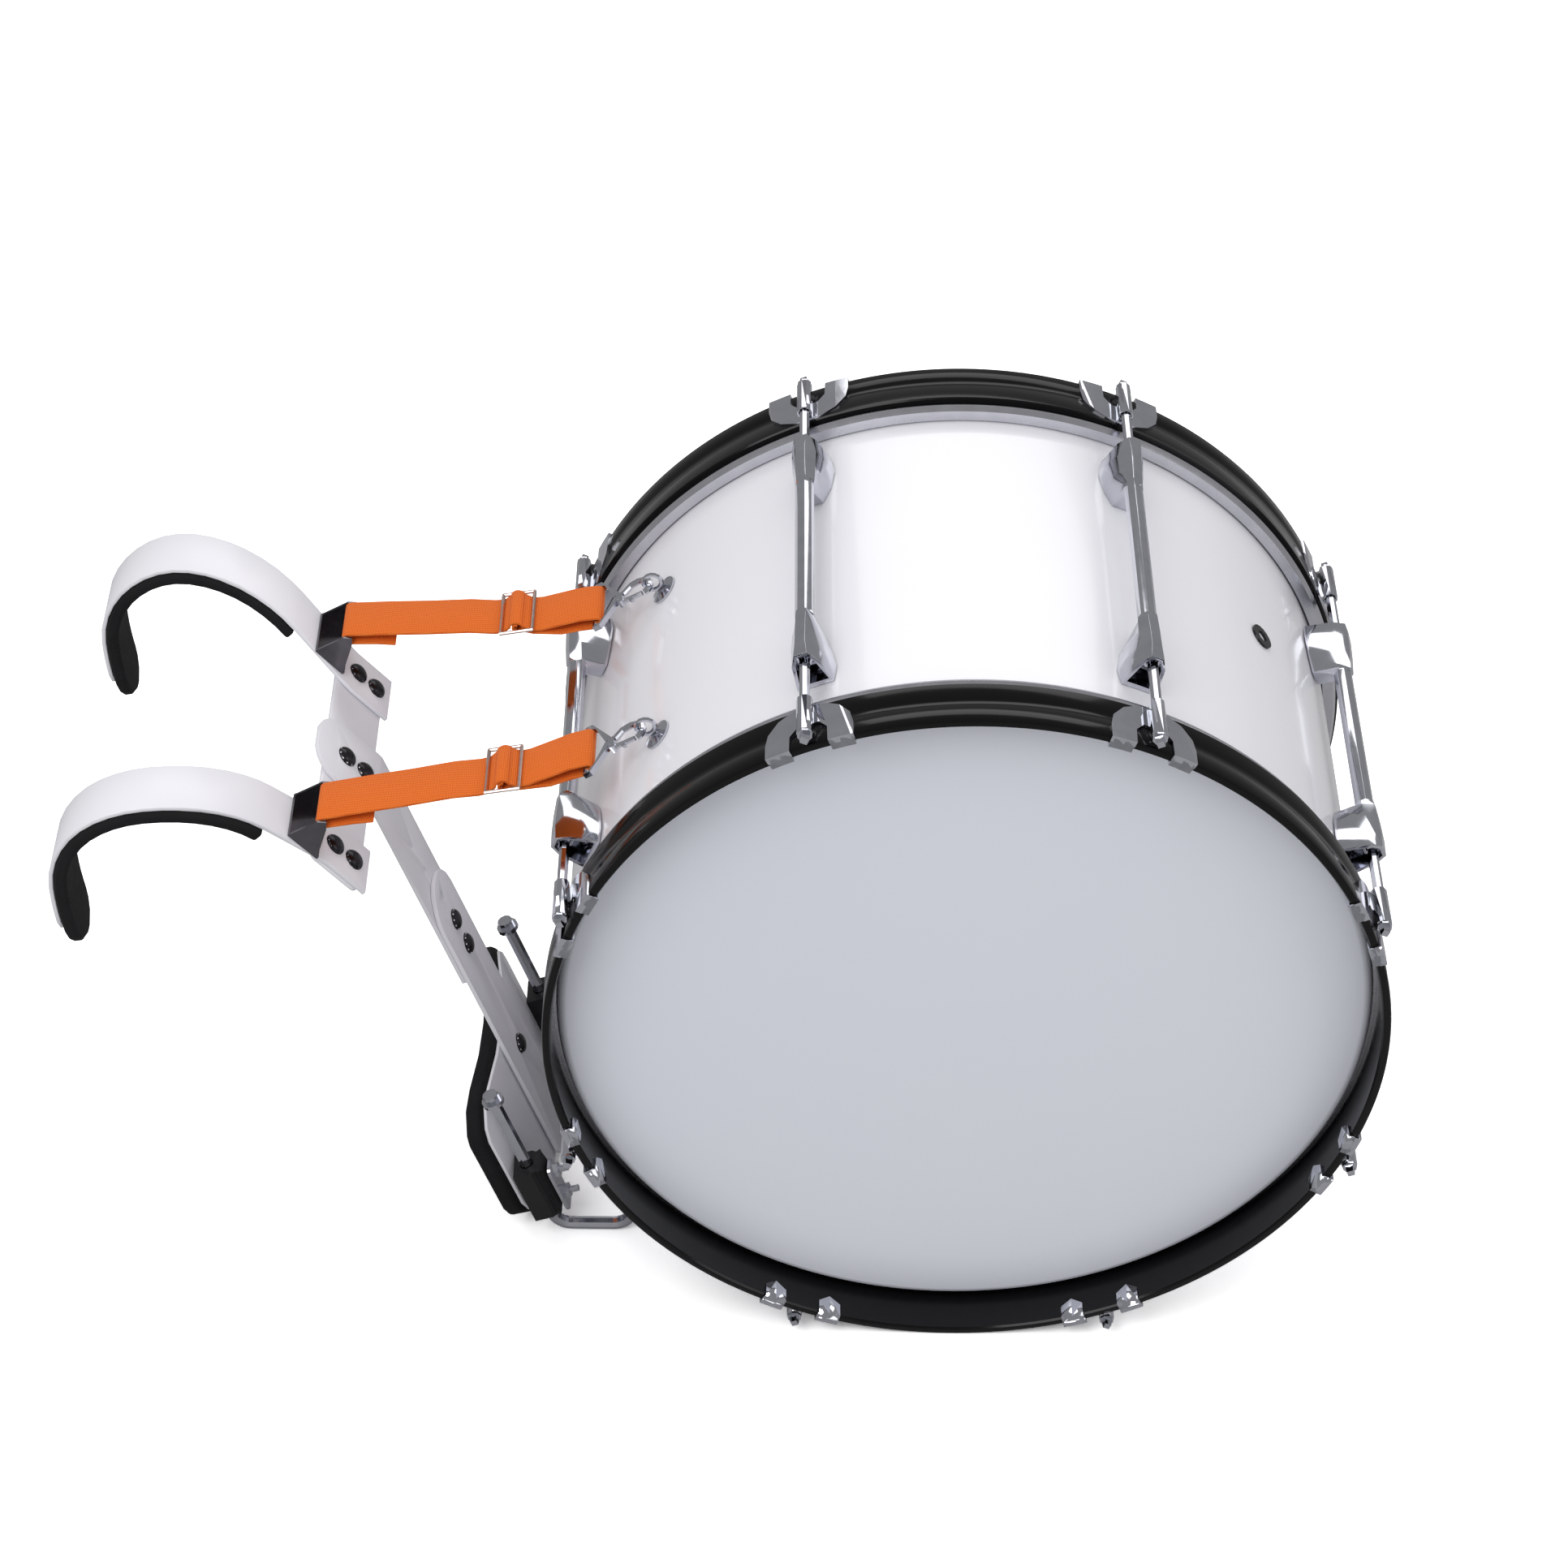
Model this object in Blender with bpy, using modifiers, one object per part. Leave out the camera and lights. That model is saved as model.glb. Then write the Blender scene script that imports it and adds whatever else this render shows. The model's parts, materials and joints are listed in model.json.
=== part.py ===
"""Marching bass drum, 22 in across and 14 in deep, strapped to its shoulder carrier.

Run with: blender --background --python part.py

World axes: +X forward from the player, +Y to the player's left along the drum's axis, +Z up.
The origin is on the floor, under the middle of the whole outfit. Right-hand pieces lie at -Y.
"""

import math

import bmesh
import bpy
from mathutils import Matrix, Vector

# Running gap between pieces that touch
GAP = 0.0003

# Rings turned about the drum's axis
RING_STEPS = 56

# Counterhoops: the black outer rings that pull the heads tight
HOOP_R = 0.292
HOOP_THICK = 0.0064
HOOP_WIDTH = 0.0382
HOOP_OUTER_Y = 0.1997
HOOP_EDGE = 0.0012

# Heads: thin film with a collar that lands on the flesh hoop
HEAD_Y = 0.1691
HEAD_FILM = 0.0008
HEAD_FLAT_R = 0.279
HEAD_COLLAR_R = 0.2835

# Flesh hoops: the bright metal rings under the counterhoops
FLESH_WIDTH = 0.0095
FLESH_OUTER_R = 0.2896
FLESH_INNER_R = 0.2794

# Shell: a ply tube with a bearing edge cut to the inside
SHELL_R = 0.278
SHELL_THICK = 0.0065
BEARING_FLAT = 0.0014
BEARING_BACK = 0.0012

# Air vent in the shell wall
VENT_ANGLE = 42.0
VENT_Y = 0.0245
VENT_FLANGE_R = 0.0098
VENT_TUBE_R = 0.0064
VENT_HOLE_R = 0.0046
VENT_FLANGE_THICK = 0.0016

# Tension stations: eight full-length lugs, a rod and a claw at each end of every lug
STATIONS = 8
FIRST_STATION = 22.5
ROD_CIRCLE_R = 0.2994
ROD_R = 0.00375
ROD_CLEARANCE = 0.0003
ROD_WASHER_R = 0.0052
ROD_WASHER_THICK = 0.0016
ROD_HEAD_HALF = 0.0028
ROD_HEAD_LENGTH = 0.0058
ROD_SIDES = 8
ROUND_SIDES = 10

# Lug casings and the tube that joins them
LUG_TUBE_R = 0.0072
LUG_TIP_Y = 0.074
LUG_MOUTH_Y = 0.124
LUG_BASE_HALF = 0.0148
LUG_BODY_HALF = 0.0092
LUG_TOP_R = 0.3078
LUG_WALL = 0.0022
LUG_POCKET = 0.020
NUT_R = 0.0062
NUT_LENGTH = 0.017

# Claws: wishbone plates that clip over the counterhoop
CLAW_PLATE = 0.0016
CLAW_HALF = 0.0305
CLAW_FOOT_INNER = 0.013
CLAW_TAB_DEPTH = 0.016
CLAW_BOSS_R = 0.0055
CLAW_BOSS_LENGTH = 0.034
CLAW_RIB_HALF = 0.0036

# Eyebolts that take the snap hooks
EYE_ANGLE = 140.0
EYE_Y = 0.081
EYE_ROSETTE_R = 0.0112
EYE_ROSETTE_THICK = 0.0034
EYE_RING_R = 0.0065
EYE_WIRE_R = 0.0018
EYE_SHANK_R = 0.003
EYE_NUT_R = 0.0065
EYE_NUT_THICK = 0.005

# Carrier spine: two flat bars bolted face to face, leaning back from the drum
SPINE_FOOT = Vector((-0.324, 0.0, -0.192))
SPINE_TILT = 19.1
BAR_WIDTH = 0.060
BAR_THICK = 0.0032
LOWER_BAR_TOP = 0.172
LOWER_BAR_BOTTOM = -0.095
UPPER_BAR_BOTTOM = 0.092
UPPER_BAR_HEAD = 0.058
BAR_CORNER = 0.026
HOLE_R = 0.0036
HOLE_PITCH = 0.0255
LOCK_HOLE = 0.158
LOCK_BOLTS = (0.133, 0.108)
PLATE_BOLT = 0.0
BOLT_HEAD_R = 0.0078
BOLT_HEAD_HIGH = 0.0042

# Cross bar and the plane that it shares with the hooks' feet
YOKE_CENTRE = Vector((-0.4318, 0.0, 0.0817))
YOKE_TILT = 41.0
CROSS_BAR_LOW = 0.0200
CROSS_BAR_HIGH = 0.0260
FOOT_Y = 0.095
FOOT_BOLT_STEP = 0.0093
FOOT_DROP = 0.024

# Shoulder hooks: flat bands bent over the shoulders, splayed outwards
HOOK_WIDTH = 0.044
HOOK_STRAIGHT = 0.070
HOOK_FRONT_R = 0.103
HOOK_BACK_R = 0.068
HOOK_TAIL_R = 0.250
HOOK_TAIL = 0.048
HOOK_SPLAY = 0.040
HOOK_SPLAY_REACH = 0.150
HOOK_END_ROUND = 0.020

# Foam under the hooks
PAD_THICK = 0.0095
PAD_WIDTH = 0.050
PAD_START = 0.066
PAD_PAST_BAND = 0.012
PAD_END_ROUND = 0.023

# Belly plate and its foam, both curved round the player's waist
BELLY_R = 0.386
PLATE_THICK = 0.0025
PLATE_HALF = 0.100
PLATE_TOP = 0.026
PLATE_BOTTOM = -0.0945
PLATE_CORNER = 0.030
BELLY_PAD_THICK = 0.012
BELLY_PAD_MARGIN = 0.005

# J-rods that reach under the drum, and the blocks that clamp them
JROD_Y = 0.095
JROD_R = 0.00475
JROD_OUT = -0.002
JROD_TOP = 0.034
JROD_BEND_R = 0.015
JROD_RUN_END = -0.236
JROD_TIP_LENGTH = 0.030
JROD_TIP_LEAN = 14.0
CAP_WASHER_R = 0.0083
CAP_WASHER_THICK = 0.0026
CAP_HEAD_R = 0.0058
CAP_HEAD_HIGH = 0.0052
CLAMP_HALF = 0.0125
CLAMP_TOP = -0.034
CLAMP_BOTTOM = -0.082
CLAMP_FRONT = 0.012
CLAMP_WAIST = 0.005
CLAMP_BOLT_ZS = (-0.047, -0.070)
CLAMP_PLATE_THICK = 0.0024
CLAMP_BOLT_R = 0.0027
CLAMP_BOLT_OUT = 0.026
CLAMP_NUT_R = 0.0058
CLAMP_NUT_THICK = 0.0045

# Stirrups on the hooks' feet, for the straps
STIRRUP_OUT = 0.024
STIRRUP_UP = 0.043
STIRRUP_BAR_R = 0.0025
STIRRUP_SHEET = 0.002
STIRRUP_BASE_LOW = 0.024
STIRRUP_BASE_HIGH = 0.052

# Webbing straps
WEB_WIDTH = 0.039
WEB_THICK = 0.0018
WEB_LAYER_GAP = 0.0006
STRAP_TAIL = 0.034
STRAP_SAG = 0.003
RING_X = -0.261
RING_Z = 0.163
SLIDER_AT = 0.125
SLIDER_WIRE_R = 0.0014
SLIDER_BAR_STEP = 0.0115

# Snap hooks
SNAP_BAR_R = 0.0028
SNAP_FRAME_HALF = 0.0235
SNAP_NECK_X = 0.0185
SNAP_WIRE_R = 0.0024
SNAP_JAW_OUT = 0.0085
SNAP_GATE_Y = -0.0075
SNAP_GATE_R = 0.0019
SNAP_HINGE_IN = 0.0018
SNAP_TIP_GAP = 0.0014


def unit(degrees):
    """Unit vector in the XZ plane, degrees from +X towards +Z."""
    a = math.radians(degrees)
    return Vector((math.cos(a), 0.0, math.sin(a)))


def hook_back_extent():
    """How far behind the drum's axis the hooks reach."""
    lean = math.radians(90.0 - YOKE_TILT)
    straight = HOOK_STRAIGHT * math.cos(lean)
    front = HOOK_FRONT_R * math.sin(lean)
    band = BAR_THICK / 2 * (1 + math.sin(lean))
    return -YOKE_CENTRE.x + straight + front + HOOK_BACK_R + band


# The drum's axis, placed so that the whole outfit is centred over the origin
AXIS_X = (hook_back_extent() - HOOP_R) / 2
AXIS_Z = HOOP_R


# Scene and materials


def clear_scene():
    for obj in list(bpy.data.objects):
        bpy.data.objects.remove(obj, do_unlink=True)


def make_collection(name):
    group = bpy.data.collections.new(name)
    bpy.context.scene.collection.children.link(group)
    return group


def linear(value):
    return value / 12.92 if value <= 0.04045 else ((value + 0.055) / 1.055) ** 2.4


def make_material(name, colour, roughness, metallic):
    """Principled material from an sRGB hex colour."""
    mat = bpy.data.materials.new(name)
    mat.use_nodes = True
    rgb = [linear(int(colour[i : i + 2], 16) / 255) for i in (0, 2, 4)]
    shader = mat.node_tree.nodes["Principled BSDF"]
    shader.inputs["Base Color"].default_value = (*rgb, 1.0)
    shader.inputs["Roughness"].default_value = roughness
    shader.inputs["Metallic"].default_value = metallic
    mat.diffuse_color = (*rgb, 1.0)
    return mat


FINISHES = {
    "shell_wrap": ("F1F0F6", 0.22, 0.0),
    "head_film": ("ECEEF8", 0.35, 0.0),
    "hoop_lacquer": ("0A0A0C", 0.16, 0.0),
    "flesh_metal": ("D2D2D8", 0.28, 1.0),
    "chrome": ("C9CAD1", 0.12, 1.0),
    "dark_nickel": ("6E6B70", 0.22, 1.0),
    "carrier_paint": ("EDECF2", 0.38, 0.0),
    "foam": ("141416", 0.85, 0.0),
    "clamp_plastic": ("101014", 0.45, 0.0),
    "webbing": ("E0662A", 0.80, 0.0),
    "slider_wire": ("D9BFB6", 0.25, 1.0),
}

clear_scene()
MODEL = make_collection("marching_bass_drum")
CUTTERS = make_collection("cutters")
MATERIALS = {name: make_material(name, *values) for name, values in FINISHES.items()}


def empty(name, parent=None, location=(0, 0, 0), rotation=(0, 0, 0)):
    obj = bpy.data.objects.new(name, None)
    MODEL.objects.link(obj)
    obj.parent = parent
    obj.location = location
    obj.rotation_euler = [math.radians(r) for r in rotation]
    return obj


DRUM = empty("drum_centre", None, (AXIS_X, 0, AXIS_Z))
AXLE = empty("drum_axle", DRUM, rotation=(-90, 0, 0))
SPINE = empty("spine_face", DRUM, SPINE_FOOT, (0, -SPINE_TILT, 0))
YOKE = empty("yoke_face", DRUM, YOKE_CENTRE, (0, -YOKE_TILT, 0))


# Mesh building


def add_part(name, data, material, parent, location=(0, 0, 0), rotation=(0, 0, 0)):
    obj = bpy.data.objects.new(name, data)
    MODEL.objects.link(obj)
    obj.parent = parent
    obj.location = location
    obj.rotation_euler = [math.radians(r) for r in rotation]
    if not data.materials:
        data.materials.append(MATERIALS[material])
    if hasattr(data, "shade_smooth"):
        data.shade_smooth()
        data.set_sharp_from_angle(angle=math.radians(35))
    return obj


def add_cutter(name, data, parent, location=(0, 0, 0), rotation=(0, 0, 0)):
    obj = bpy.data.objects.new(name, data)
    CUTTERS.objects.link(obj)
    obj.parent = parent
    obj.location = location
    obj.rotation_euler = [math.radians(r) for r in rotation]
    obj.hide_render = True
    obj.display_type = "WIRE"
    return obj


def boolean(obj, other, operation):
    mod = obj.modifiers.new(f"{operation.lower()}_{other.name}", "BOOLEAN")
    mod.operation = operation
    mod.object = other
    return mod


def finish_bmesh(name, bm):
    bmesh.ops.recalc_face_normals(bm, faces=bm.faces[:])
    mesh = bpy.data.meshes.new(name)
    bm.to_mesh(mesh)
    bm.free()
    return mesh


def loft(name, sections, closed=False):
    """Skin between sections of equal count, capped at both ends unless closed."""
    bm = bmesh.new()
    rings = [[bm.verts.new(p) for p in section] for section in sections]
    count = len(rings[0])
    pairs = list(zip(rings, rings[1:]))
    if closed:
        pairs.append((rings[-1], rings[0]))
    for a, b in pairs:
        for i in range(count):
            j = (i + 1) % count
            bm.faces.new((a[i], a[j], b[j], b[i]))
    if not closed:
        bm.faces.new(rings[0])
        bm.faces.new(rings[-1])
    return finish_bmesh(name, bm)


def prism(name, outline, low, high, axis="Z"):
    """A flat outline pushed from low to high along one axis."""
    place = {
        "X": lambda a, b, h: (h, a, b),
        "Y": lambda a, b, h: (a, h, b),
        "Z": lambda a, b, h: (a, b, h),
    }[axis]
    return loft(name, [[place(a, b, h) for a, b in outline] for h in (low, high)])


def circle(radius, sides, turn=0.0):
    step = 2 * math.pi / sides
    return [(radius * math.cos(turn + i * step), radius * math.sin(turn + i * step)) for i in range(sides)]


def rectangle(u0, u1, v0, v1):
    return [(u0, v0), (u1, v0), (u1, v1), (u0, v1)]


def moved(outline, du, dv):
    return [(u + du, v + dv) for u, v in outline]


def cylinder(name, radius, low, high, axis="Z", centre=(0.0, 0.0), sides=ROUND_SIDES):
    return prism(name, moved(circle(radius, sides, math.pi / sides), *centre), low, high, axis)


def turned(name, profile, material, closed=True):
    """A profile of (radius, height) turned about the drum's axis with a Screw modifier."""
    bm = bmesh.new()
    verts = [bm.verts.new((r, 0.0, y)) for r, y in profile]
    for a, b in zip(verts, verts[1:]):
        bm.edges.new((a, b))
    if closed:
        bm.edges.new((verts[-1], verts[0]))
    mesh = bpy.data.meshes.new(name)
    bm.to_mesh(mesh)
    bm.free()
    obj = add_part(name, mesh, material, AXLE)
    screw = obj.modifiers.new("turn", "SCREW")
    screw.axis = "Z"
    screw.steps = RING_STEPS
    screw.render_steps = RING_STEPS
    screw.use_merge_vertices = True
    screw.merge_threshold = 0.00001
    screw.use_smooth_shade = True
    return obj


def joined(name, base, adds=(), cuts=()):
    """One mesh from a base mesh, with others united to it and then cut from it."""
    obj = add_cutter(name + "_blank", base, None)
    helpers = []
    for operation, group in (("UNION", adds), ("DIFFERENCE", cuts)):
        for i, data in enumerate(group):
            helper = add_cutter(f"{name}_{operation.lower()}_{i}", data, None)
            boolean(obj, helper, operation)
            helpers.append(helper)
    bpy.context.view_layer.update()
    graph = bpy.context.evaluated_depsgraph_get()
    mesh = bpy.data.meshes.new_from_object(obj.evaluated_get(graph))
    mesh.name = name
    for extra in [obj] + helpers:
        bpy.data.objects.remove(extra, do_unlink=True)
    return mesh


def copy_mesh(name, mesh, matrices):
    """Several moved copies of a mesh in one mesh."""
    bm = bmesh.new()
    for matrix in matrices:
        part = bmesh.new()
        part.from_mesh(mesh)
        part.transform(matrix)
        if matrix.determinant() < 0:
            bmesh.ops.reverse_faces(part, faces=part.faces[:])
        temp = bpy.data.meshes.new("temp")
        part.to_mesh(temp)
        part.free()
        bm.from_mesh(temp)
        bpy.data.meshes.remove(temp)
    result = bpy.data.meshes.new(name)
    bm.to_mesh(result)
    bm.free()
    return result


def wire(name, points, radius, material, parent, resolution=2):
    """A round wire or rod as a bevelled curve with filled caps."""
    curve = bpy.data.curves.new(name, "CURVE")
    curve.dimensions = "3D"
    curve.bevel_depth = radius
    curve.bevel_resolution = resolution
    curve.use_fill_caps = True
    spline = curve.splines.new("POLY")
    spline.points.add(len(points) - 1)
    for point, co in zip(spline.points, points):
        point.co = (*co, 1.0)
    if material is None:
        return add_cutter(name, curve, parent)
    curve.materials.append(MATERIALS[material])
    obj = bpy.data.objects.new(name, curve)
    MODEL.objects.link(obj)
    obj.parent = parent
    return obj


def wire_mesh(name, points, radius, resolution=2):
    """The same round wire as a closed mesh, for joining and cutting."""
    obj = wire(name, points, radius, None, None, resolution)
    bpy.context.view_layer.update()
    graph = bpy.context.evaluated_depsgraph_get()
    mesh = bpy.data.meshes.new_from_object(obj.evaluated_get(graph))
    bm = bmesh.new()
    bm.from_mesh(mesh)
    bmesh.ops.remove_doubles(bm, verts=bm.verts[:], dist=0.00001)
    bm.to_mesh(mesh)
    bm.free()
    bpy.data.objects.remove(obj, do_unlink=True)
    return mesh


def arc(centre, radius, start, end, steps):
    """Points on an arc in a plane, angles in degrees."""
    points = []
    for i in range(steps + 1):
        a = math.radians(start + (end - start) * i / steps)
        points.append((centre[0] + radius * math.cos(a), centre[1] + radius * math.sin(a)))
    return points


def path_normals(path):
    """Left-hand unit normals of a plane path, averaged at each point."""
    normals = []
    for i in range(len(path)):
        a = Vector(path[max(i - 1, 0)])
        b = Vector(path[min(i + 1, len(path) - 1)])
        run = (b - a).normalized()
        normals.append(Vector((-run.y, run.x)))
    return normals


def offset_path(path, distance):
    return [tuple(Vector(p) + n * distance) for p, n in zip(path, path_normals(path))]


def band(name, path, thickness, half_width, centre_y, soft=0.0):
    """A flat band along an XZ path. half_width and centre_y give the size and place at each point."""
    sections = []
    for i, (point, normal) in enumerate(zip(path, path_normals(path))):
        half, mid = half_width(i), centre_y(point)
        if soft:
            corners = [
                (-half, -0.5), (-half, 0.5), (-half + soft, 1.0), (half - soft, 1.0),
                (half, 0.5), (half, -0.5), (half - soft, -1.0), (-half + soft, -1.0),
            ]
        else:
            corners = [(-half, -1.0), (-half, 1.0), (half, 1.0), (half, -1.0)]
        section = []
        for y, side in corners:
            spot = Vector(point) + normal * (side * thickness / 2)
            section.append((spot.x, mid + y, spot.y))
        sections.append(section)
    return loft(name, sections)


def path_lengths(path):
    total, lengths = 0.0, [0.0]
    for a, b in zip(path, path[1:]):
        total += (Vector(b) - Vector(a)).length
        lengths.append(total)
    return lengths


def round_ended(path, half, start_round, end_round):
    """Half widths along a path whose ends are rounded off."""
    lengths = path_lengths(path)
    total = lengths[-1]
    widths = []
    for s in lengths:
        width = half
        for gone, radius in ((s, start_round), (total - s, end_round)):
            if radius and gone < radius:
                rise = math.sqrt(max(radius**2 - (radius - gone) ** 2, 0.0))
                width = min(width, half - radius + max(rise, 0.12 * radius))
        widths.append(width)
    return widths


# Rings, heads and shell


def make_shell():
    edge = HEAD_Y - HEAD_FILM - GAP
    inner = SHELL_R - SHELL_THICK
    outer_half = edge - BEARING_BACK
    inner_half = edge - (SHELL_THICK - BEARING_FLAT)
    upper = [(inner, inner_half), (SHELL_R - BEARING_FLAT, edge), (SHELL_R, outer_half)]
    profile = upper + [(r, -y) for r, y in reversed(upper)]
    shell = turned("shell", profile, "shell_wrap")
    vent = cylinder("vent_hole", VENT_TUBE_R + GAP, SHELL_R - 0.03, SHELL_R + 0.03, "Z", (0, VENT_Y))
    boolean(shell, add_cutter("vent_hole", vent, DRUM, rotation=(0, 90 - VENT_ANGLE, 0)), "DIFFERENCE")
    for side in (-1, 1):
        hole = cylinder("eye_hole", EYE_SHANK_R + GAP, SHELL_R - 0.03, SHELL_R + 0.03, "Z", (0, side * EYE_Y))
        cutter = add_cutter(f"eye_hole_{side}", hole, DRUM, rotation=(0, 90 - EYE_ANGLE, 0))
        boolean(shell, cutter, "DIFFERENCE")
    return shell


def make_vent():
    top = SHELL_R + GAP + VENT_FLANGE_THICK
    bottom = SHELL_R - SHELL_THICK - VENT_FLANGE_THICK
    at = (0, VENT_Y)
    base = cylinder("flange", VENT_FLANGE_R, SHELL_R + GAP, top, "Z", at, 16)
    tube = cylinder("tube", VENT_TUBE_R, bottom, top - GAP, "Z", at)
    hole = cylinder("hole", VENT_HOLE_R, bottom - GAP, top + GAP, "Z", at)
    mesh = joined("air_vent", base, [tube], [hole])
    add_part("air_vent", mesh, "chrome", DRUM, rotation=(0, 90 - VENT_ANGLE, 0))


def make_head(name, side):
    land = HOOP_OUTER_Y - HOOP_WIDTH
    profile = [
        (0.0, HEAD_Y),
        (HEAD_FLAT_R, HEAD_Y),
        (HEAD_COLLAR_R, land),
        (HEAD_COLLAR_R - HEAD_FILM, land),
        (HEAD_FLAT_R - HEAD_FILM / 2, HEAD_Y - HEAD_FILM),
        (0.0, HEAD_Y - HEAD_FILM),
    ]
    head = turned(name, profile, "head_film", closed=False)
    if side < 0:
        head.rotation_euler = (math.pi, 0, 0)


def make_flesh_hoop(name, side):
    top = HOOP_OUTER_Y - HOOP_WIDTH - GAP
    bottom = top - FLESH_WIDTH
    profile = [
        (FLESH_OUTER_R, top),
        (FLESH_OUTER_R - 0.0030, bottom),
        (FLESH_INNER_R, bottom),
        (FLESH_INNER_R, top),
    ]
    ring = turned(name, profile, "flesh_metal")
    if side < 0:
        ring.rotation_euler = (math.pi, 0, 0)


def on_hoop(x, y, radius):
    """A point at distance x round the hoop, y along the drum's axis and at a radius."""
    angle = x / HOOP_R
    return (radius * math.sin(angle), y, radius * math.cos(angle))


def wrapped_plate(name, edges, low, high):
    """A plate round the hoop, from (x, near y, far y) at each edge, between two radii."""
    sections = []
    for x, near, far in edges:
        sections.append([on_hoop(x, *spot) for spot in ((near, low), (far, low), (far, high), (near, high))])
    return loft(name, sections)


def claw_mesh():
    """One claw at the +Y hoop, with its stem on the rod's line. X is tangential and Z radial."""
    inboard = HOOP_OUTER_Y - HOOP_WIDTH
    outboard = HOOP_OUTER_Y
    sunk = HOOP_R - HOOP_THICK / 2
    top = HOOP_R + CLAW_PLATE
    lip = outboard + CLAW_PLATE
    arm = [
        (0.0075, inboard + 0.001, outboard - 0.019),
        (CLAW_FOOT_INNER, inboard + 0.0026, outboard - 0.012),
        (CLAW_FOOT_INNER + 0.0003, inboard + 0.0028, lip),
        (0.021, inboard + 0.007, lip),
        (CLAW_HALF - 0.002, inboard + 0.017, lip),
        (CLAW_HALF, inboard + 0.027, lip),
    ]
    edges = [(-x, near, far) for x, near, far in reversed(arm)] + arm
    plate = wrapped_plate("plate", edges, sunk, top)
    adds = []
    below = HOOP_R - HOOP_THICK - CLAW_PLATE
    deep = outboard - CLAW_TAB_DEPTH
    near, far = CLAW_FOOT_INNER + 0.0006, CLAW_HALF - 0.0003
    for side in (-1, 1):
        tab = [
            (side * near, deep + 0.006, lip - 0.0002),
            (side * (near + far) / 2, deep, lip - 0.0002),
            (side * far, deep + 0.006, lip - 0.0002),
        ]
        adds.append(wrapped_plate("tab", tab, below, sunk + 0.0008))
    boss_end = outboard - 0.003
    boss_start = boss_end - CLAW_BOSS_LENGTH
    rib = rectangle(-CLAW_RIB_HALF, CLAW_RIB_HALF, sunk + 0.0004, ROD_CIRCLE_R - 0.0010)
    adds.append(prism("rib", rib, inboard + 0.002, boss_end - 0.002, "Y"))
    adds.append(cylinder("boss", CLAW_BOSS_R, boss_start, boss_end, "Y", (0, ROD_CIRCLE_R)))
    bore = cylinder("bore", bore_radius(), boss_start - 0.01, boss_end + 0.01, "Y", (0, ROD_CIRCLE_R), ROD_SIDES)
    return joined("claw", plate, adds, [bore])


def make_hoop(name, side, claw):
    """A counterhoop with the claws of its eight stations clipped over it."""
    outer, inner = HOOP_OUTER_Y, HOOP_OUTER_Y - HOOP_WIDTH
    profile = [
        (HOOP_R - HOOP_EDGE, outer),
        (HOOP_R, outer - HOOP_EDGE),
        (HOOP_R, inner),
        (HOOP_R - HOOP_THICK, inner),
        (HOOP_R - HOOP_THICK, outer),
    ]
    hoop = turned(name, profile, "hoop_lacquer")
    if side < 0:
        hoop.rotation_euler = (math.pi, 0, 0)
    flip = Matrix.Rotation(math.pi, 4, "Z") if side < 0 else Matrix.Identity(4)
    places = [Matrix.Rotation(math.radians(90 - angle), 4, "Y") @ flip for angle in station_angles()]
    boolean(hoop, add_cutter(name + "_claws", copy_mesh(name + "_claws", claw, places), DRUM), "UNION")


# Lugs and tension rods


def bore_radius():
    """Corner radius of a bore whose flats clear the rod."""
    return (ROD_R + ROD_CLEARANCE) / math.cos(math.pi / ROD_SIDES)


def station_angles():
    return [FIRST_STATION + 360.0 * i / STATIONS for i in range(STATIONS)]


def lug_section(y, base_r, base_half, shoulder_r, body_half, top_r, crest_half):
    outline = [
        (-base_half, base_r), (-base_half, base_r + 0.0022), (-body_half, shoulder_r), (-crest_half, top_r),
        (crest_half, top_r), (body_half, shoulder_r), (base_half, base_r + 0.0022), (base_half, base_r),
    ]
    return [(x, y, r) for x, r in outline]


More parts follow.
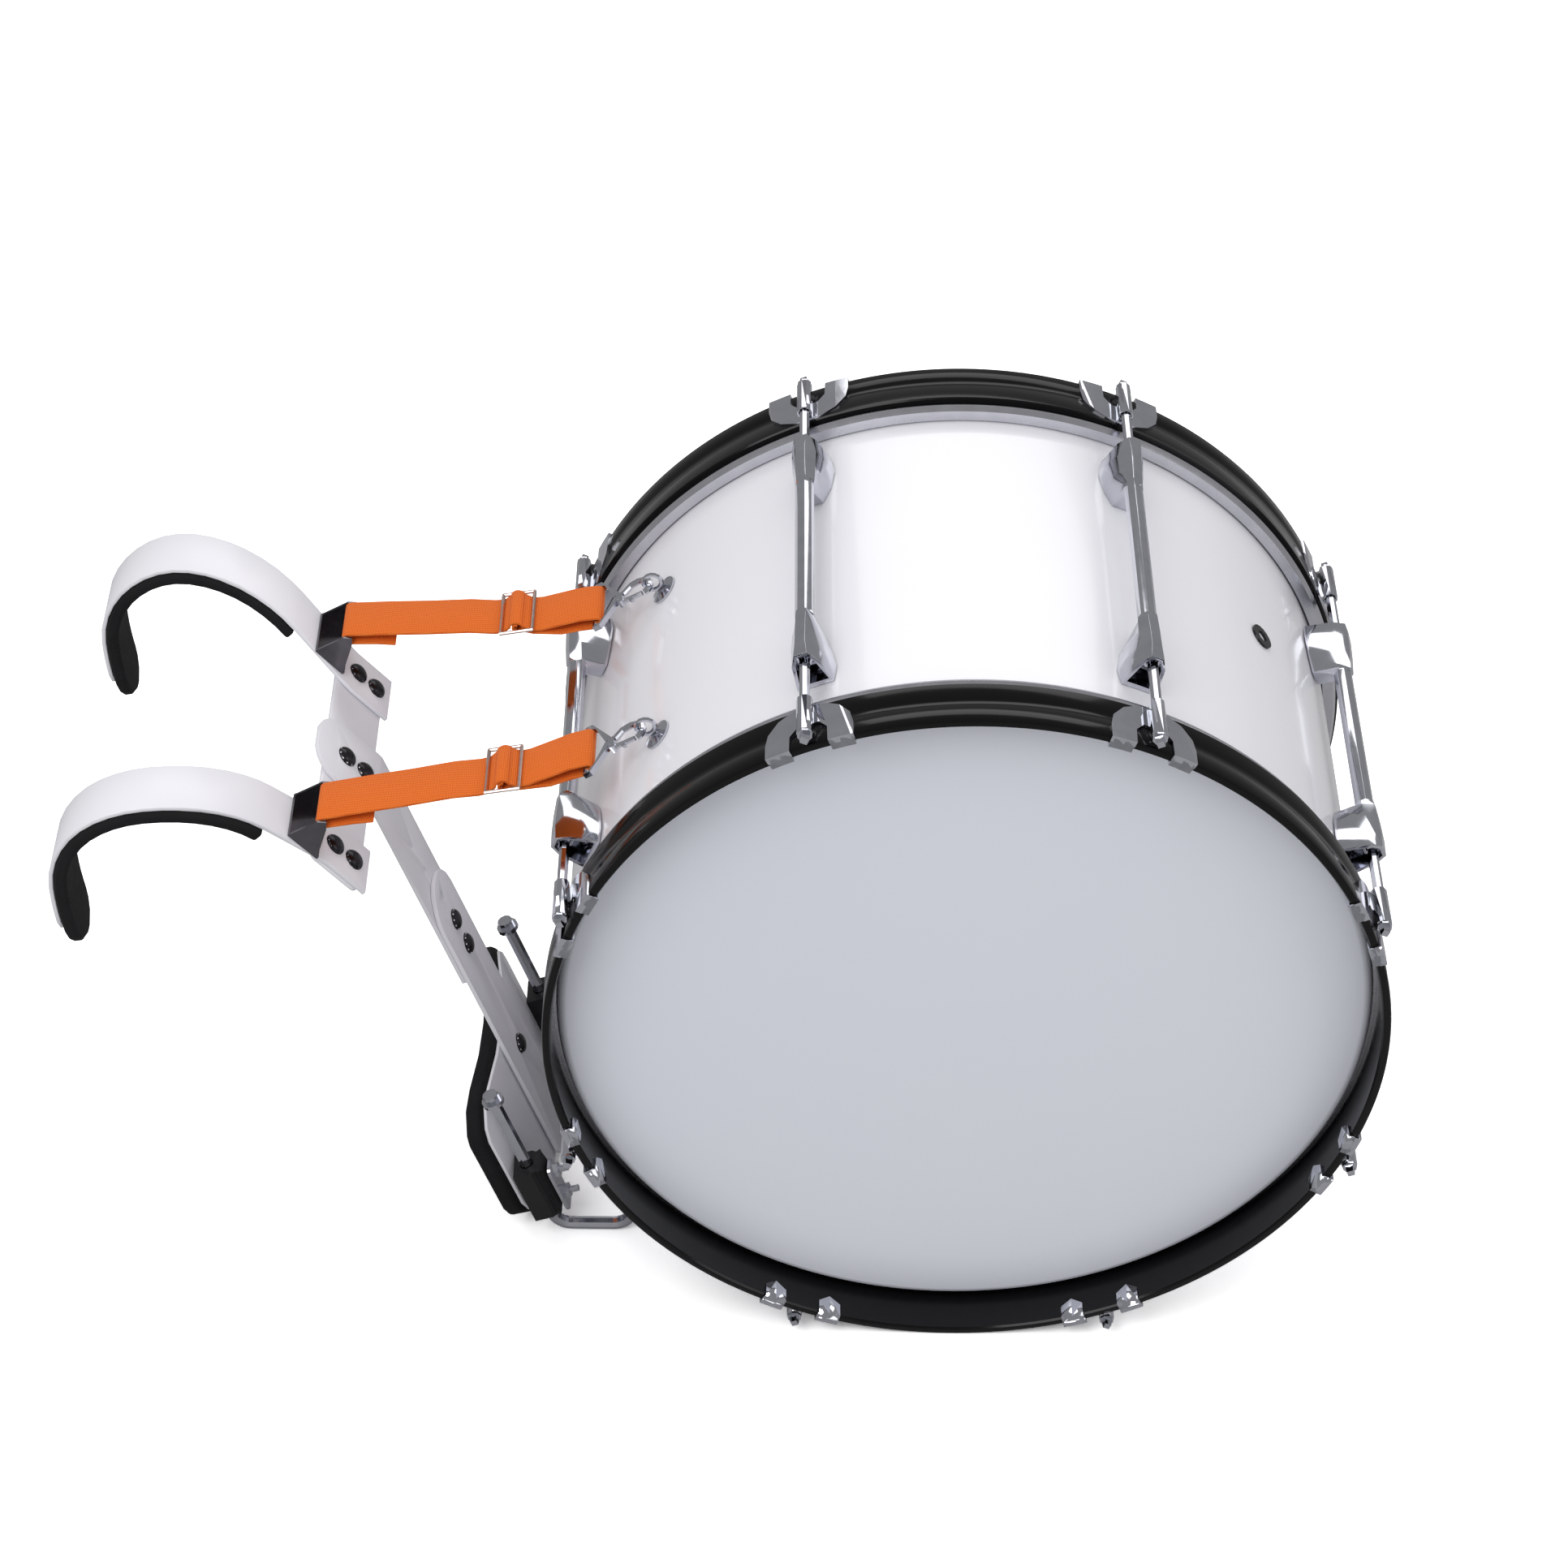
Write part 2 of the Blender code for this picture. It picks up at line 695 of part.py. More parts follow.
def lug_mesh():
    """A full-length lug: two open-mouthed casings joined by a faceted tube, with swivel nuts inside."""
    foot = SHELL_R + GAP + 0.0004
    tube_low = ROD_CIRCLE_R - LUG_TUBE_R
    tube_high = ROD_CIRCLE_R + LUG_TUBE_R
    low_mid = ROD_CIRCLE_R - LUG_TUBE_R / 2
    mouth, tip = LUG_MOUTH_Y, LUG_TIP_Y
    half = [
        lug_section(mouth, foot, LUG_BASE_HALF * 0.86, ROD_CIRCLE_R, LUG_BODY_HALF, LUG_TOP_R, 0.0045),
        lug_section(mouth - 0.014, foot, LUG_BASE_HALF, ROD_CIRCLE_R + 0.0012, LUG_BODY_HALF, LUG_TOP_R + 0.0006, 0.0036),
        lug_section(mouth - 0.032, foot, LUG_BASE_HALF * 0.80, ROD_CIRCLE_R + 0.0008, LUG_BODY_HALF * 0.93, LUG_TOP_R, 0.0036),
        lug_section(tip + 0.004, foot, 0.0062, low_mid + 0.003, LUG_TUBE_R, tube_high + 0.0002, 0.0036),
        lug_section(tip, tube_low - 0.0012, 0.0040, low_mid + 0.003, LUG_TUBE_R * 0.98, tube_high, 0.0034),
    ]
    tube = [
        (x, tip - 0.0015, ROD_CIRCLE_R + z)
        for x, z in circle(LUG_TUBE_R * 0.92, 8, -5 * math.pi / 8)
    ]
    tube = [tube[i] for i in (0, 7, 6, 5, 4, 3, 2, 1)]
    half.append(tube)
    other = [[(x, -y, r) for x, y, r in section] for section in reversed(half)]
    body = loft("lug", half + other)
    pockets, nut_spans, bore_spans = [], [], []
    wall = LUG_WALL
    for side in (-1, 1):
        deep = mouth - LUG_POCKET
        pocket = []
        for y, shrink in ((mouth + 0.004, 0.0), (deep, 0.0014)):
            reach = wall + shrink
            pocket.append([
                (x, side * y, r)
                for x, r in (
                    (-LUG_BASE_HALF * 0.86 + reach, foot + wall + 0.001),
                    (-LUG_BODY_HALF + reach, ROD_CIRCLE_R - 0.001),
                    (-0.0045 + reach / 2, LUG_TOP_R - wall - shrink),
                    (0.0045 - reach / 2, LUG_TOP_R - wall - shrink),
                    (LUG_BODY_HALF - reach, ROD_CIRCLE_R - 0.001),
                    (LUG_BASE_HALF * 0.86 - reach, foot + wall + 0.001),
                )
            ])
        pockets.append(loft("pocket", pocket))
        nut_low, nut_high = sorted((side * (deep - 0.003), side * (deep - 0.003 + NUT_LENGTH)))
        bore_low, bore_high = sorted((side * (deep - 0.001), side * (mouth + 0.01)))
        nut_spans.append((nut_low, nut_high))
        bore_spans.append((bore_low, bore_high))
    at = (0, ROD_CIRCLE_R)
    hollow = joined("lug_hollow", body, (), pockets)
    nuts = [cylinder("nut", NUT_R, low, high, "Y", at, 8) for low, high in nut_spans]
    bores = [cylinder("bore", bore_radius(), low, high, "Y", at, ROD_SIDES) for low, high in bore_spans]
    return joined("lug", hollow, nuts, bores)


def rod_mesh():
    """A tension rod for the +Y side, about its own axis: round shank, washer and square key head."""
    washer = HOOP_OUTER_Y - 0.003 + GAP
    start = LUG_MOUTH_Y - LUG_POCKET + GAP
    stations = [(start, ROD_R), (washer, ROD_R)]
    stations += [(washer, ROD_WASHER_R), (washer + ROD_WASHER_THICK, ROD_WASHER_R)]
    sections = []
    for y, radius in stations:
        sections.append([(x, y, z) for x, z in circle(radius, ROD_SIDES)])
    head = washer + ROD_WASHER_THICK
    for y, half in ((head, ROD_HEAD_HALF), (head + ROD_HEAD_LENGTH, ROD_HEAD_HALF * 0.85)):
        square = [(1, 0), (1, 1), (0, 1), (-1, 1), (-1, 0), (-1, -1), (0, -1), (1, -1)]
        sections.append([(x * half, y, z * half) for x, z in square])
    return loft("tension_rod", sections)


def make_stations():
    lug = lug_mesh()
    rod = rod_mesh()
    for i, angle in enumerate(station_angles()):
        add_part(f"lug_{i + 1}", lug, "chrome", DRUM, rotation=(0, 90 - angle, 0))
        spot = unit(angle) * ROD_CIRCLE_R
        add_part(f"left_tension_rod_{i + 1}", rod, "chrome", DRUM, spot, (0, 90 - angle, 0))
        add_part(f"right_tension_rod_{i + 1}", rod, "chrome", DRUM, spot, (0, 90 - angle, 180))


# Eyebolts


def eye_ring_r():
    return SHELL_R + GAP + EYE_ROSETTE_THICK + EYE_RING_R + EYE_WIRE_R * 0.6


def make_eye_bolt(name, side):
    """A domed rosette with a ring that stands across the drum's axis, its shank nutted inside the shell."""
    foot = SHELL_R + GAP
    top = foot + EYE_ROSETTE_THICK
    rings = [(EYE_ROSETTE_R, foot), (EYE_ROSETTE_R, foot + 0.0012), (EYE_ROSETTE_R * 0.55, top - 0.0004),
             (EYE_ROSETTE_R * 0.3, top)]
    rosette = loft("rosette", [[(x, y, z) for x, y in circle(r, 16)] for r, z in rings])
    ring_centre = eye_ring_r()
    ring = loft("ring", [
        [
            (
                (EYE_RING_R + EYE_WIRE_R * c) * math.cos(a),
                EYE_WIRE_R * s,
                ring_centre + (EYE_RING_R + EYE_WIRE_R * c) * math.sin(a),
            )
            for c, s in circle(1.0, 6)
        ]
        for a in [2 * math.pi * i / 14 for i in range(14)]
    ], closed=True)
    inside = SHELL_R - SHELL_THICK - 2 * GAP
    shank = cylinder("shank", EYE_SHANK_R, inside - EYE_NUT_THICK, foot + 0.001, "Z", (0, 0), 8)
    nut = cylinder("nut", EYE_NUT_R, inside - EYE_NUT_THICK * 0.8, inside - 0.0002, "Z", (0, 0), 6)
    mesh = joined(name, rosette, [ring, shank, nut])
    spot = Vector((0, side * EYE_Y, 0))
    add_part(name, mesh, "chrome", DRUM, spot, (0, 90 - EYE_ANGLE, 0))


# Spine bars and cross bar


def bolt_mesh(x, y, z, depth=0.001):
    """A domed bolt head that stands on a face whose normal is +X."""
    rings = [(-depth, BOLT_HEAD_R), (BOLT_HEAD_HIGH * 0.35, BOLT_HEAD_R), (BOLT_HEAD_HIGH * 0.8, BOLT_HEAD_R * 0.72),
             (BOLT_HEAD_HIGH, BOLT_HEAD_R * 0.35)]
    return loft("bolt", [[(x + dx, y + a, z + b) for a, b in circle(r, 10)] for dx, r in rings])


def hole_mesh(z, low, high, radius=HOLE_R):
    return cylinder("hole", radius, low, high, "X", (0, z), 10)


def bar_outline(half, low, high, low_corner, high_corner):
    """A flat bar's outline in (y, z) with rounded corners."""
    points = []
    for cy, cz, r, start in (
        (half - high_corner, high - high_corner, high_corner, 0), (-half + high_corner, high - high_corner, high_corner, 90),
        (-half + low_corner, low + low_corner, low_corner, 180), (half - low_corner, low + low_corner, low_corner, 270),
    ):
        points += arc((cy, cz), r, start, start + 90, 4)
    return points


def make_lower_bar():
    half = BAR_WIDTH / 2
    outline = bar_outline(half, LOWER_BAR_BOTTOM, LOWER_BAR_TOP, 0.006, BAR_CORNER)
    bar = prism("bar", outline, -BAR_THICK, 0.0, "X")
    bolts = [bolt_mesh(0.0, 0.0, z) for z in LOCK_BOLTS + (PLATE_BOLT,)]
    mesh = joined("lower_spine_bar", bar, bolts, [hole_mesh(LOCK_HOLE, -0.01, 0.01)])
    add_part("lower_spine_bar", mesh, "carrier_paint", SPINE)


def bend_height():
    """Where the upper bar's face meets the plane of the hooks' feet, measured up the spine."""
    normal = Vector((math.cos(math.radians(YOKE_TILT)), 0, math.sin(math.radians(YOKE_TILT))))
    lean = math.radians(SPINE_TILT)
    up = Vector((-math.sin(lean), 0, math.cos(lean)))
    out = Vector((math.cos(lean), 0, math.sin(lean)))
    start = SPINE_FOOT - out * (BAR_THICK + GAP)
    return normal.dot(YOKE_CENTRE - start) / normal.dot(up)


def make_upper_bar():
    """The bar that slides behind the lower one and bends back into the cross bar's plane."""
    turn = YOKE_TILT - SPINE_TILT
    face = -(BAR_THICK + GAP)
    middle = face - BAR_THICK / 2
    bend_r = 0.012
    tangent = bend_r * math.tan(math.radians(turn / 2))
    bend = bend_height()
    centre = (middle - bend_r, bend - tangent)
    path = [(middle, UPPER_BAR_BOTTOM), (middle, UPPER_BAR_BOTTOM + 0.004), (middle, UPPER_BAR_BOTTOM + 0.012)]
    path += arc(centre, bend_r, 0, turn, 3)
    last = Vector(path[-1])
    along = Vector((-math.sin(math.radians(turn)), math.cos(math.radians(turn))))
    for step in (0.2, 0.62, 0.76, 0.88, 0.95, 1.0):
        path.append(tuple(last + along * (UPPER_BAR_HEAD * step)))
    widths = round_ended(path, BAR_WIDTH / 2, 0.006, 0.022)
    bar = band("bar", path, BAR_THICK, lambda i: widths[i], lambda p: 0.0)
    bottom_hole = LOCK_HOLE - 2 * HOLE_PITCH
    rows = [bottom_hole + HOLE_PITCH * i for i in range(5)]
    cuts = [hole_mesh(z, face - 0.01, face + 0.01) for z in rows if z < bend - 0.02]
    upright = Matrix.Rotation(math.radians(-turn), 4, "Y")
    origin = SPINE_FOOT
    lean = math.radians(SPINE_TILT)
    local = Vector((
        (YOKE_CENTRE - origin).x * math.cos(lean) + (YOKE_CENTRE - origin).z * math.sin(lean),
        0.0,
        -(YOKE_CENTRE - origin).x * math.sin(lean) + (YOKE_CENTRE - origin).z * math.cos(lean),
    ))
    bolts = []
    for z in (FOOT_BOLT_STEP, -FOOT_BOLT_STEP):
        bolt = bolt_mesh(0.0, 0.0, z)
        bolt.transform(Matrix.Translation(local) @ upright)
        bolts.append(bolt)
    mesh = joined("upper_spine_bar", bar, bolts, cuts)
    add_part("upper_spine_bar", mesh, "carrier_paint", SPINE)


def make_cross_bar():
    top = -(BAR_THICK + GAP)
    reach = FOOT_Y + HOOK_WIDTH / 2
    outline = bar_outline(reach, -CROSS_BAR_LOW, CROSS_BAR_HIGH, 0.006, 0.006)
    add_part("cross_bar", prism("cross_bar", outline, top - BAR_THICK, top, "X"), "carrier_paint", YOKE)


# Shoulder hooks, pads and stirrups


def hook_path():
    """Centre line of the hook's band in the drum's XZ plane, from its foot to its tail."""
    lean = math.radians(90 - YOKE_TILT)
    along = Vector((-math.cos(lean), math.sin(lean)))
    normal = Vector((math.sin(lean), math.cos(lean)))
    start = Vector((YOKE_CENTRE.x, YOKE_CENTRE.z)) - normal * (BAR_THICK / 2)
    path = [tuple(start - along * FOOT_DROP), tuple(start + along * 0.5 * FOOT_DROP)]
    path += [tuple(start + along * HOOK_STRAIGHT * f) for f in (0.4, 0.7)]
    tangent = start + along * HOOK_STRAIGHT
    front = tangent - normal * HOOK_FRONT_R
    first = 90 - math.degrees(lean)
    path += arc(front, HOOK_FRONT_R, first, 90, 7)
    peak = path[-1]
    path += arc((peak[0], peak[1] - HOOK_BACK_R), HOOK_BACK_R, 90, 180, 9)[1:]
    side = path[-1]
    sweep = math.degrees(HOOK_TAIL / HOOK_TAIL_R)
    path += arc((side[0] + HOOK_TAIL_R, side[1]), HOOK_TAIL_R, 180, 180 + sweep, 6)[1:]
    return path


def splay(side):
    """The band's centre across the drum, which leans outwards behind the foot."""
    def centre(point):
        gone = min(max(YOKE_CENTRE.x - 0.012 - point[0], 0.0) / HOOK_SPLAY_REACH, 1.0)
        return side * (FOOT_Y + HOOK_SPLAY * math.sin(gone * math.pi / 2))
    return centre


def make_hook(name, side):
    path = hook_path()
    widths = round_ended(path, HOOK_WIDTH / 2, 0.0, HOOK_END_ROUND)
    strip = band("band", path, BAR_THICK, lambda i: widths[i], splay(side))
    tilt = Matrix.Translation(YOKE_CENTRE) @ Matrix.Rotation(math.radians(-YOKE_TILT), 4, "Y")
    bolts = []
    for z in (FOOT_BOLT_STEP, -FOOT_BOLT_STEP):
        bolt = bolt_mesh(0.0, side * FOOT_Y, z)
        bolt.transform(tilt)
        bolts.append(bolt)
    add_part(name, joined(name, strip, bolts), "carrier_paint", DRUM)


def pad_path():
    """Centre line of the foam, which lies under the band from its front arc to past its tail."""
    path = hook_path()
    lengths = path_lengths(path)
    kept = [p for p, s in zip(path, lengths) if s >= FOOT_DROP + PAD_START]
    last = Vector(kept[-1])
    run = (last - Vector(kept[-2])).normalized()
    kept = kept[:-1] + [tuple(last), tuple(last + run * PAD_PAST_BAND * 0.6), tuple(last + run * PAD_PAST_BAND)]
    return offset_path(kept, BAR_THICK / 2 + GAP + PAD_THICK / 2)


def make_shoulder_pad(name, side):
    path = pad_path()
    widths = round_ended(path, PAD_WIDTH / 2, 0.0, PAD_END_ROUND)
    mesh = band(name, path, PAD_THICK, lambda i: widths[i], splay(side), soft=0.0016)
    add_part(name, mesh, "foam", DRUM)


def make_stirrup(name, side):
    """A bent sheet on the hook's foot whose cheeks hold the bar that the webbing loops round."""
    cheek_y = WEB_WIDTH / 2 + GAP + STIRRUP_SHEET / 2
    skew = splay(side)(tuple((YOKE_CENTRE.x - 0.0275, 0.0)))
    half = cheek_y + STIRRUP_SHEET / 2
    base = prism("base", rectangle(-half, half, STIRRUP_BASE_LOW, STIRRUP_BASE_HIGH), GAP, GAP + STIRRUP_SHEET, "X")
    adds = []
    for s in (-1, 1):
        low, high = s * cheek_y - STIRRUP_SHEET / 2, s * cheek_y + STIRRUP_SHEET / 2
        cheek = [(GAP, STIRRUP_BASE_LOW), (GAP, STIRRUP_BASE_HIGH), (STIRRUP_OUT, STIRRUP_UP + 0.0045),
                 (STIRRUP_OUT + 0.0045, STIRRUP_UP), (STIRRUP_OUT, STIRRUP_UP - 0.0045)]
        adds.append(prism("cheek", cheek, low, high, "Y"))
    adds.append(cylinder("bar", STIRRUP_BAR_R, -cheek_y, cheek_y, "Y", (STIRRUP_OUT, STIRRUP_UP), 8))
    mesh = joined(name, base, adds)
    add_part(name, mesh, "dark_nickel", YOKE, (0, skew, 0))
    return skew


# Belly plate and pad


def belly_sheet(name, front, thickness, half, low, high, corner):
    """A sheet with rounded corners, curved round the waist."""
    ys = [-half + corner * (1 - math.cos(math.radians(a))) for a in (0, 30, 60, 90)]
    ys += [ys[-1] + (2 * half - 2 * corner) * f for f in (0.25, 0.5, 0.75, 1.0)]
    ys += [half - corner * (1 - math.sin(math.radians(a))) for a in (30, 60, 90)]
    sections = []
    for y in ys:
        reach = max(abs(y) - (half - corner), 0.0)
        cut = corner - math.sqrt(max(corner**2 - reach**2, 0.0))
        cut = min(cut, corner * 0.9)
        back = BELLY_R - math.sqrt(BELLY_R**2 - y**2)
        x0, x1 = front - back, front - back - thickness
        sections.append([(x0, y, low + cut), (x0, y, high - cut), (x1, y, high - cut), (x1, y, low + cut)])
    return loft(name, sections)


def make_belly():
    front = -(BAR_THICK + GAP)
    plate = belly_sheet("belly_plate", front, PLATE_THICK, PLATE_HALF, PLATE_BOTTOM, PLATE_TOP, PLATE_CORNER)
    add_part("belly_plate", plate, "carrier_paint", SPINE)
    m = BELLY_PAD_MARGIN
    behind = front - PLATE_THICK - 2 * GAP
    pad = belly_sheet("belly_pad", behind, BELLY_PAD_THICK, PLATE_HALF + m, PLATE_BOTTOM, PLATE_TOP + m, PLATE_CORNER + m)
    add_part("belly_pad", pad, "foam", SPINE)


# Clamps and J-rods


def jrod_points():
    """The rod's centre line in the drum's XZ plane: down through the clamp, along the floor and up."""
    lean = math.radians(SPINE_TILT)
    up = Vector((-math.sin(lean), math.cos(lean)))
    out = Vector((math.cos(lean), math.sin(lean)))
    base = Vector((SPINE_FOOT.x, SPINE_FOOT.z)) + out * JROD_OUT
    floor = -HOOP_R + JROD_R
    corner = base + up * ((floor - base.y) / up.y)
    top = base + up * JROD_TOP
    turn = 90 - SPINE_TILT
    tangent = JROD_BEND_R * math.tan(math.radians(turn / 2))
    centre = (corner.x + tangent, floor + JROD_BEND_R)
    points = [tuple(top)] + arc(centre, JROD_BEND_R, 180 + SPINE_TILT, 270, 6)
    rise = 90 + JROD_TIP_LEAN
    second = (JROD_RUN_END - JROD_BEND_R, floor + JROD_BEND_R)
    points += arc(second, JROD_BEND_R, 270, 270 + rise, 7)
    tip = Vector(points[-1])
    lean_up = math.radians(90 + JROD_TIP_LEAN)
    points.append(tuple(tip + Vector((math.cos(lean_up), math.sin(lean_up))) * JROD_TIP_LENGTH))
    return points


def make_jrod(name, side):
    points = [(x, side * JROD_Y, z) for x, z in jrod_points()]
    rod = wire_mesh("rod", points, JROD_R)
    caps = []
    for radius, low, high, sides in (
        (CAP_WASHER_R, JROD_TOP - 0.001, JROD_TOP + CAP_WASHER_THICK, 14),
        (CAP_HEAD_R, JROD_TOP, JROD_TOP + CAP_WASHER_THICK + CAP_HEAD_HIGH, 10),
    ):
        cap = cylinder("cap", radius, low, high, "Z", (JROD_OUT, side * JROD_Y), sides)
        cap.transform(Matrix.Translation(SPINE_FOOT) @ Matrix.Rotation(math.radians(-SPINE_TILT), 4, "Y"))
        caps.append(cap)
    add_part(name, joined(name, rod, caps), "chrome", DRUM)


def plate_front(y):
    return -(BAR_THICK + GAP) - (BELLY_R - math.sqrt(BELLY_R**2 - y**2))


def clamp_back():
    """The clamp's back sits on the belly plate, at the edge nearest the spine, where the plate is proudest."""
    return plate_front(JROD_Y - CLAMP_HALF) + GAP


def make_clamp(name, side):
    """A moulded block with two lobes: one round the J-rod, one round the clamp screws."""
    back = clamp_back()
    waist = CLAMP_WAIST
    outline = [
        (back, -CLAMP_HALF), (waist - 0.003, -CLAMP_HALF), (waist, -CLAMP_HALF + 0.0022), (waist + 0.003, -CLAMP_HALF),
        (CLAMP_FRONT - 0.004, -CLAMP_HALF + 0.0012), (CLAMP_FRONT, -CLAMP_HALF + 0.0062),
        (CLAMP_FRONT, CLAMP_HALF - 0.0062), (CLAMP_FRONT - 0.004, CLAMP_HALF - 0.0012),
        (waist + 0.003, CLAMP_HALF), (waist, CLAMP_HALF - 0.0022), (waist - 0.003, CLAMP_HALF), (back, CLAMP_HALF),
    ]
    block = prism("block", outline, CLAMP_BOTTOM, CLAMP_TOP)
    bore_r = (JROD_R + GAP) / math.cos(math.pi / ROUND_SIDES)
    cuts = [cylinder("bore", bore_r, CLAMP_BOTTOM - 0.01, CLAMP_TOP + 0.01, "Z", (JROD_OUT, 0))]
    crown = 0.012
    for z, sign in ((CLAMP_TOP, 1), (CLAMP_BOTTOM, -1)):
        wedge = [(CLAMP_FRONT + 0.001, z - sign * crown), (CLAMP_FRONT + 0.001, z + sign * 0.002),
                 (waist + 0.002, z + sign * 0.002), (waist + 0.0045, z - sign * 0.002)]
        cuts.append(prism("wedge", wedge, -CLAMP_HALF - 0.002, CLAMP_HALF + 0.002, "Y"))
    for z in CLAMP_BOLT_ZS:
        cuts.append(cylinder("screw_hole", CLAMP_BOLT_R + GAP, JROD_OUT + JROD_R + 0.0012, CLAMP_FRONT + 0.01, "X", (0, z), 8))
    add_part(name, joined(name, block, (), cuts), "clamp_plastic", SPINE, (0, side * JROD_Y, 0))


def make_clamp_plate(name, side):
    """The bright plate across the clamp's nose, with the two clamp screws and their nuts."""
    low, high = CLAMP_BOLT_ZS[1] - 0.014, CLAMP_BOLT_ZS[0] + 0.0075
    face = CLAMP_FRONT + GAP
    outline = bar_outline(0.0088, low, high, 0.005, 0.005)
    plate = prism("plate", outline, face, face + CLAMP_PLATE_THICK, "X")
    adds = []
    for z in CLAMP_BOLT_ZS:
        adds.append(cylinder("screw", CLAMP_BOLT_R, JROD_OUT + JROD_R + 0.0016, CLAMP_BOLT_OUT, "X", (0, z), 8))
        nut = face + CLAMP_PLATE_THICK
        adds.append(cylinder("nut", CLAMP_NUT_R, nut - 0.0004, nut + CLAMP_NUT_THICK, "X", (0, z), 6))
    add_part(name, joined(name, plate, adds), "chrome", SPINE, (0, side * JROD_Y, 0))


# Straps, sliders and snap hooks


def strap_ends(skew, side):
    """The centres of the stirrup's bar and of the snap hook's bar, in the drum's frame."""
    tilt = math.radians(YOKE_TILT)
    out = Vector((math.cos(tilt), 0, math.sin(tilt)))
    up = Vector((-math.sin(tilt), 0, math.cos(tilt)))
    start = YOKE_CENTRE + out * STIRRUP_OUT + up * STIRRUP_UP + Vector((0, skew, 0))
    return start, Vector((RING_X, side * EYE_Y, RING_Z))


def strap_frame(name, start, end):
    """An empty at the stirrup's bar whose X axis runs to the snap hook's bar in the XZ plane."""
    run = end - start
    pitch = math.atan2(run.z, run.x)
    return empty(name, DRUM, start, (0, -math.degrees(pitch), 0)), math.hypot(run.x, run.z)


def strap_path(length):
    """Centre line of the webbing in the strap's frame, from its sewn tail to its roll on the slider."""
    t = WEB_THICK
    loop_a = STIRRUP_BAR_R + GAP + t / 2
    loop_b = SNAP_BAR_R + GAP + t / 2
    bar = SLIDER_WIRE_R
    roll = bar + GAP + t / 2
    over = roll + t + WEB_LAYER_GAP
    under = -(bar + GAP + t / 2)
    at = SLIDER_AT
    step = SLIDER_BAR_STEP
    path = [(STRAP_TAIL, -loop_a - 0.0035), (STRAP_TAIL * 0.6, -loop_a - 0.0015)]
    path += arc((0, 0), loop_a, 270, 90, 7)
    path += [(0.030, loop_a - 0.0012), (0.060, loop_a - STRAP_SAG), (0.090, under + 0.0022), (at - step - 0.006, under - 0.0002)]
    path += [(at - step + 0.001, under)]
    path += arc((at, 0), over, 168, 12, 7)
    path += [(at + step - 0.001, under), (at + step + 0.006, under), (at + 0.035, under + 0.0035)]
    path += [(length - 0.012, loop_b - 0.0006)]
    path += arc((length, 0), loop_b, 90, -90, 7)
    low = under - t - WEB_LAYER_GAP
    path += [(length - 0.014, -loop_b - 0.0012), (at + 0.032, low - 0.0022), (at + step, low), (at + step * 0.45, -roll - 0.0002)]
    path += arc((at, 0), roll, 270, 60, 7)
    return path


def make_strap(name, frame, skew, start, end, length):
    """Webbing looped round the stirrup, through the slider, round the snap hook and back to the slider."""
    drift = (end.y - start.y) / length
    path = strap_path(length)
    half = WEB_WIDTH / 2
    mesh = band(name, path, WEB_THICK, lambda i: half - 0.0004, lambda p: drift * min(max(p[0], 0.0), length))
    add_part(name, mesh, "webbing", frame)
    return drift


def make_slider(name, frame, drift):
    """A wire slide with three bars; the webbing rolls round the middle one."""
    r = SLIDER_WIRE_R
    step = SLIDER_BAR_STEP
    side = WEB_WIDTH / 2 + r + GAP + abs(drift) * step
    bars = []
    for dx in (-step, 0.0, step):
        bars.append(cylinder("bar", r, -side, side, "Y", (dx, 0.0), 8))
    rails = [cylinder("rail", r, -step - r * 0.6, step + r * 0.6, "X", (s * side, 0.0), 8) for s in (-1, 1)]
    mesh = joined(name, bars[0], bars[1:] + rails)
    add_part(name, mesh, "slider_wire", frame, (SLIDER_AT, drift * SLIDER_AT, 0))


def snap_frame(name, side):
    """An empty at the snap hook's bar whose X axis points at the eyebolt's ring."""
    bar = Vector((RING_X, side * EYE_Y, RING_Z))
    ring = unit(EYE_ANGLE) * eye_ring_r()
    run = Vector((ring.x - bar.x, 0, ring.z - bar.z))
    pitch = math.atan2(run.z, run.x)
    return empty(name, DRUM, bar, (0, -math.degrees(pitch), 0)), run.length


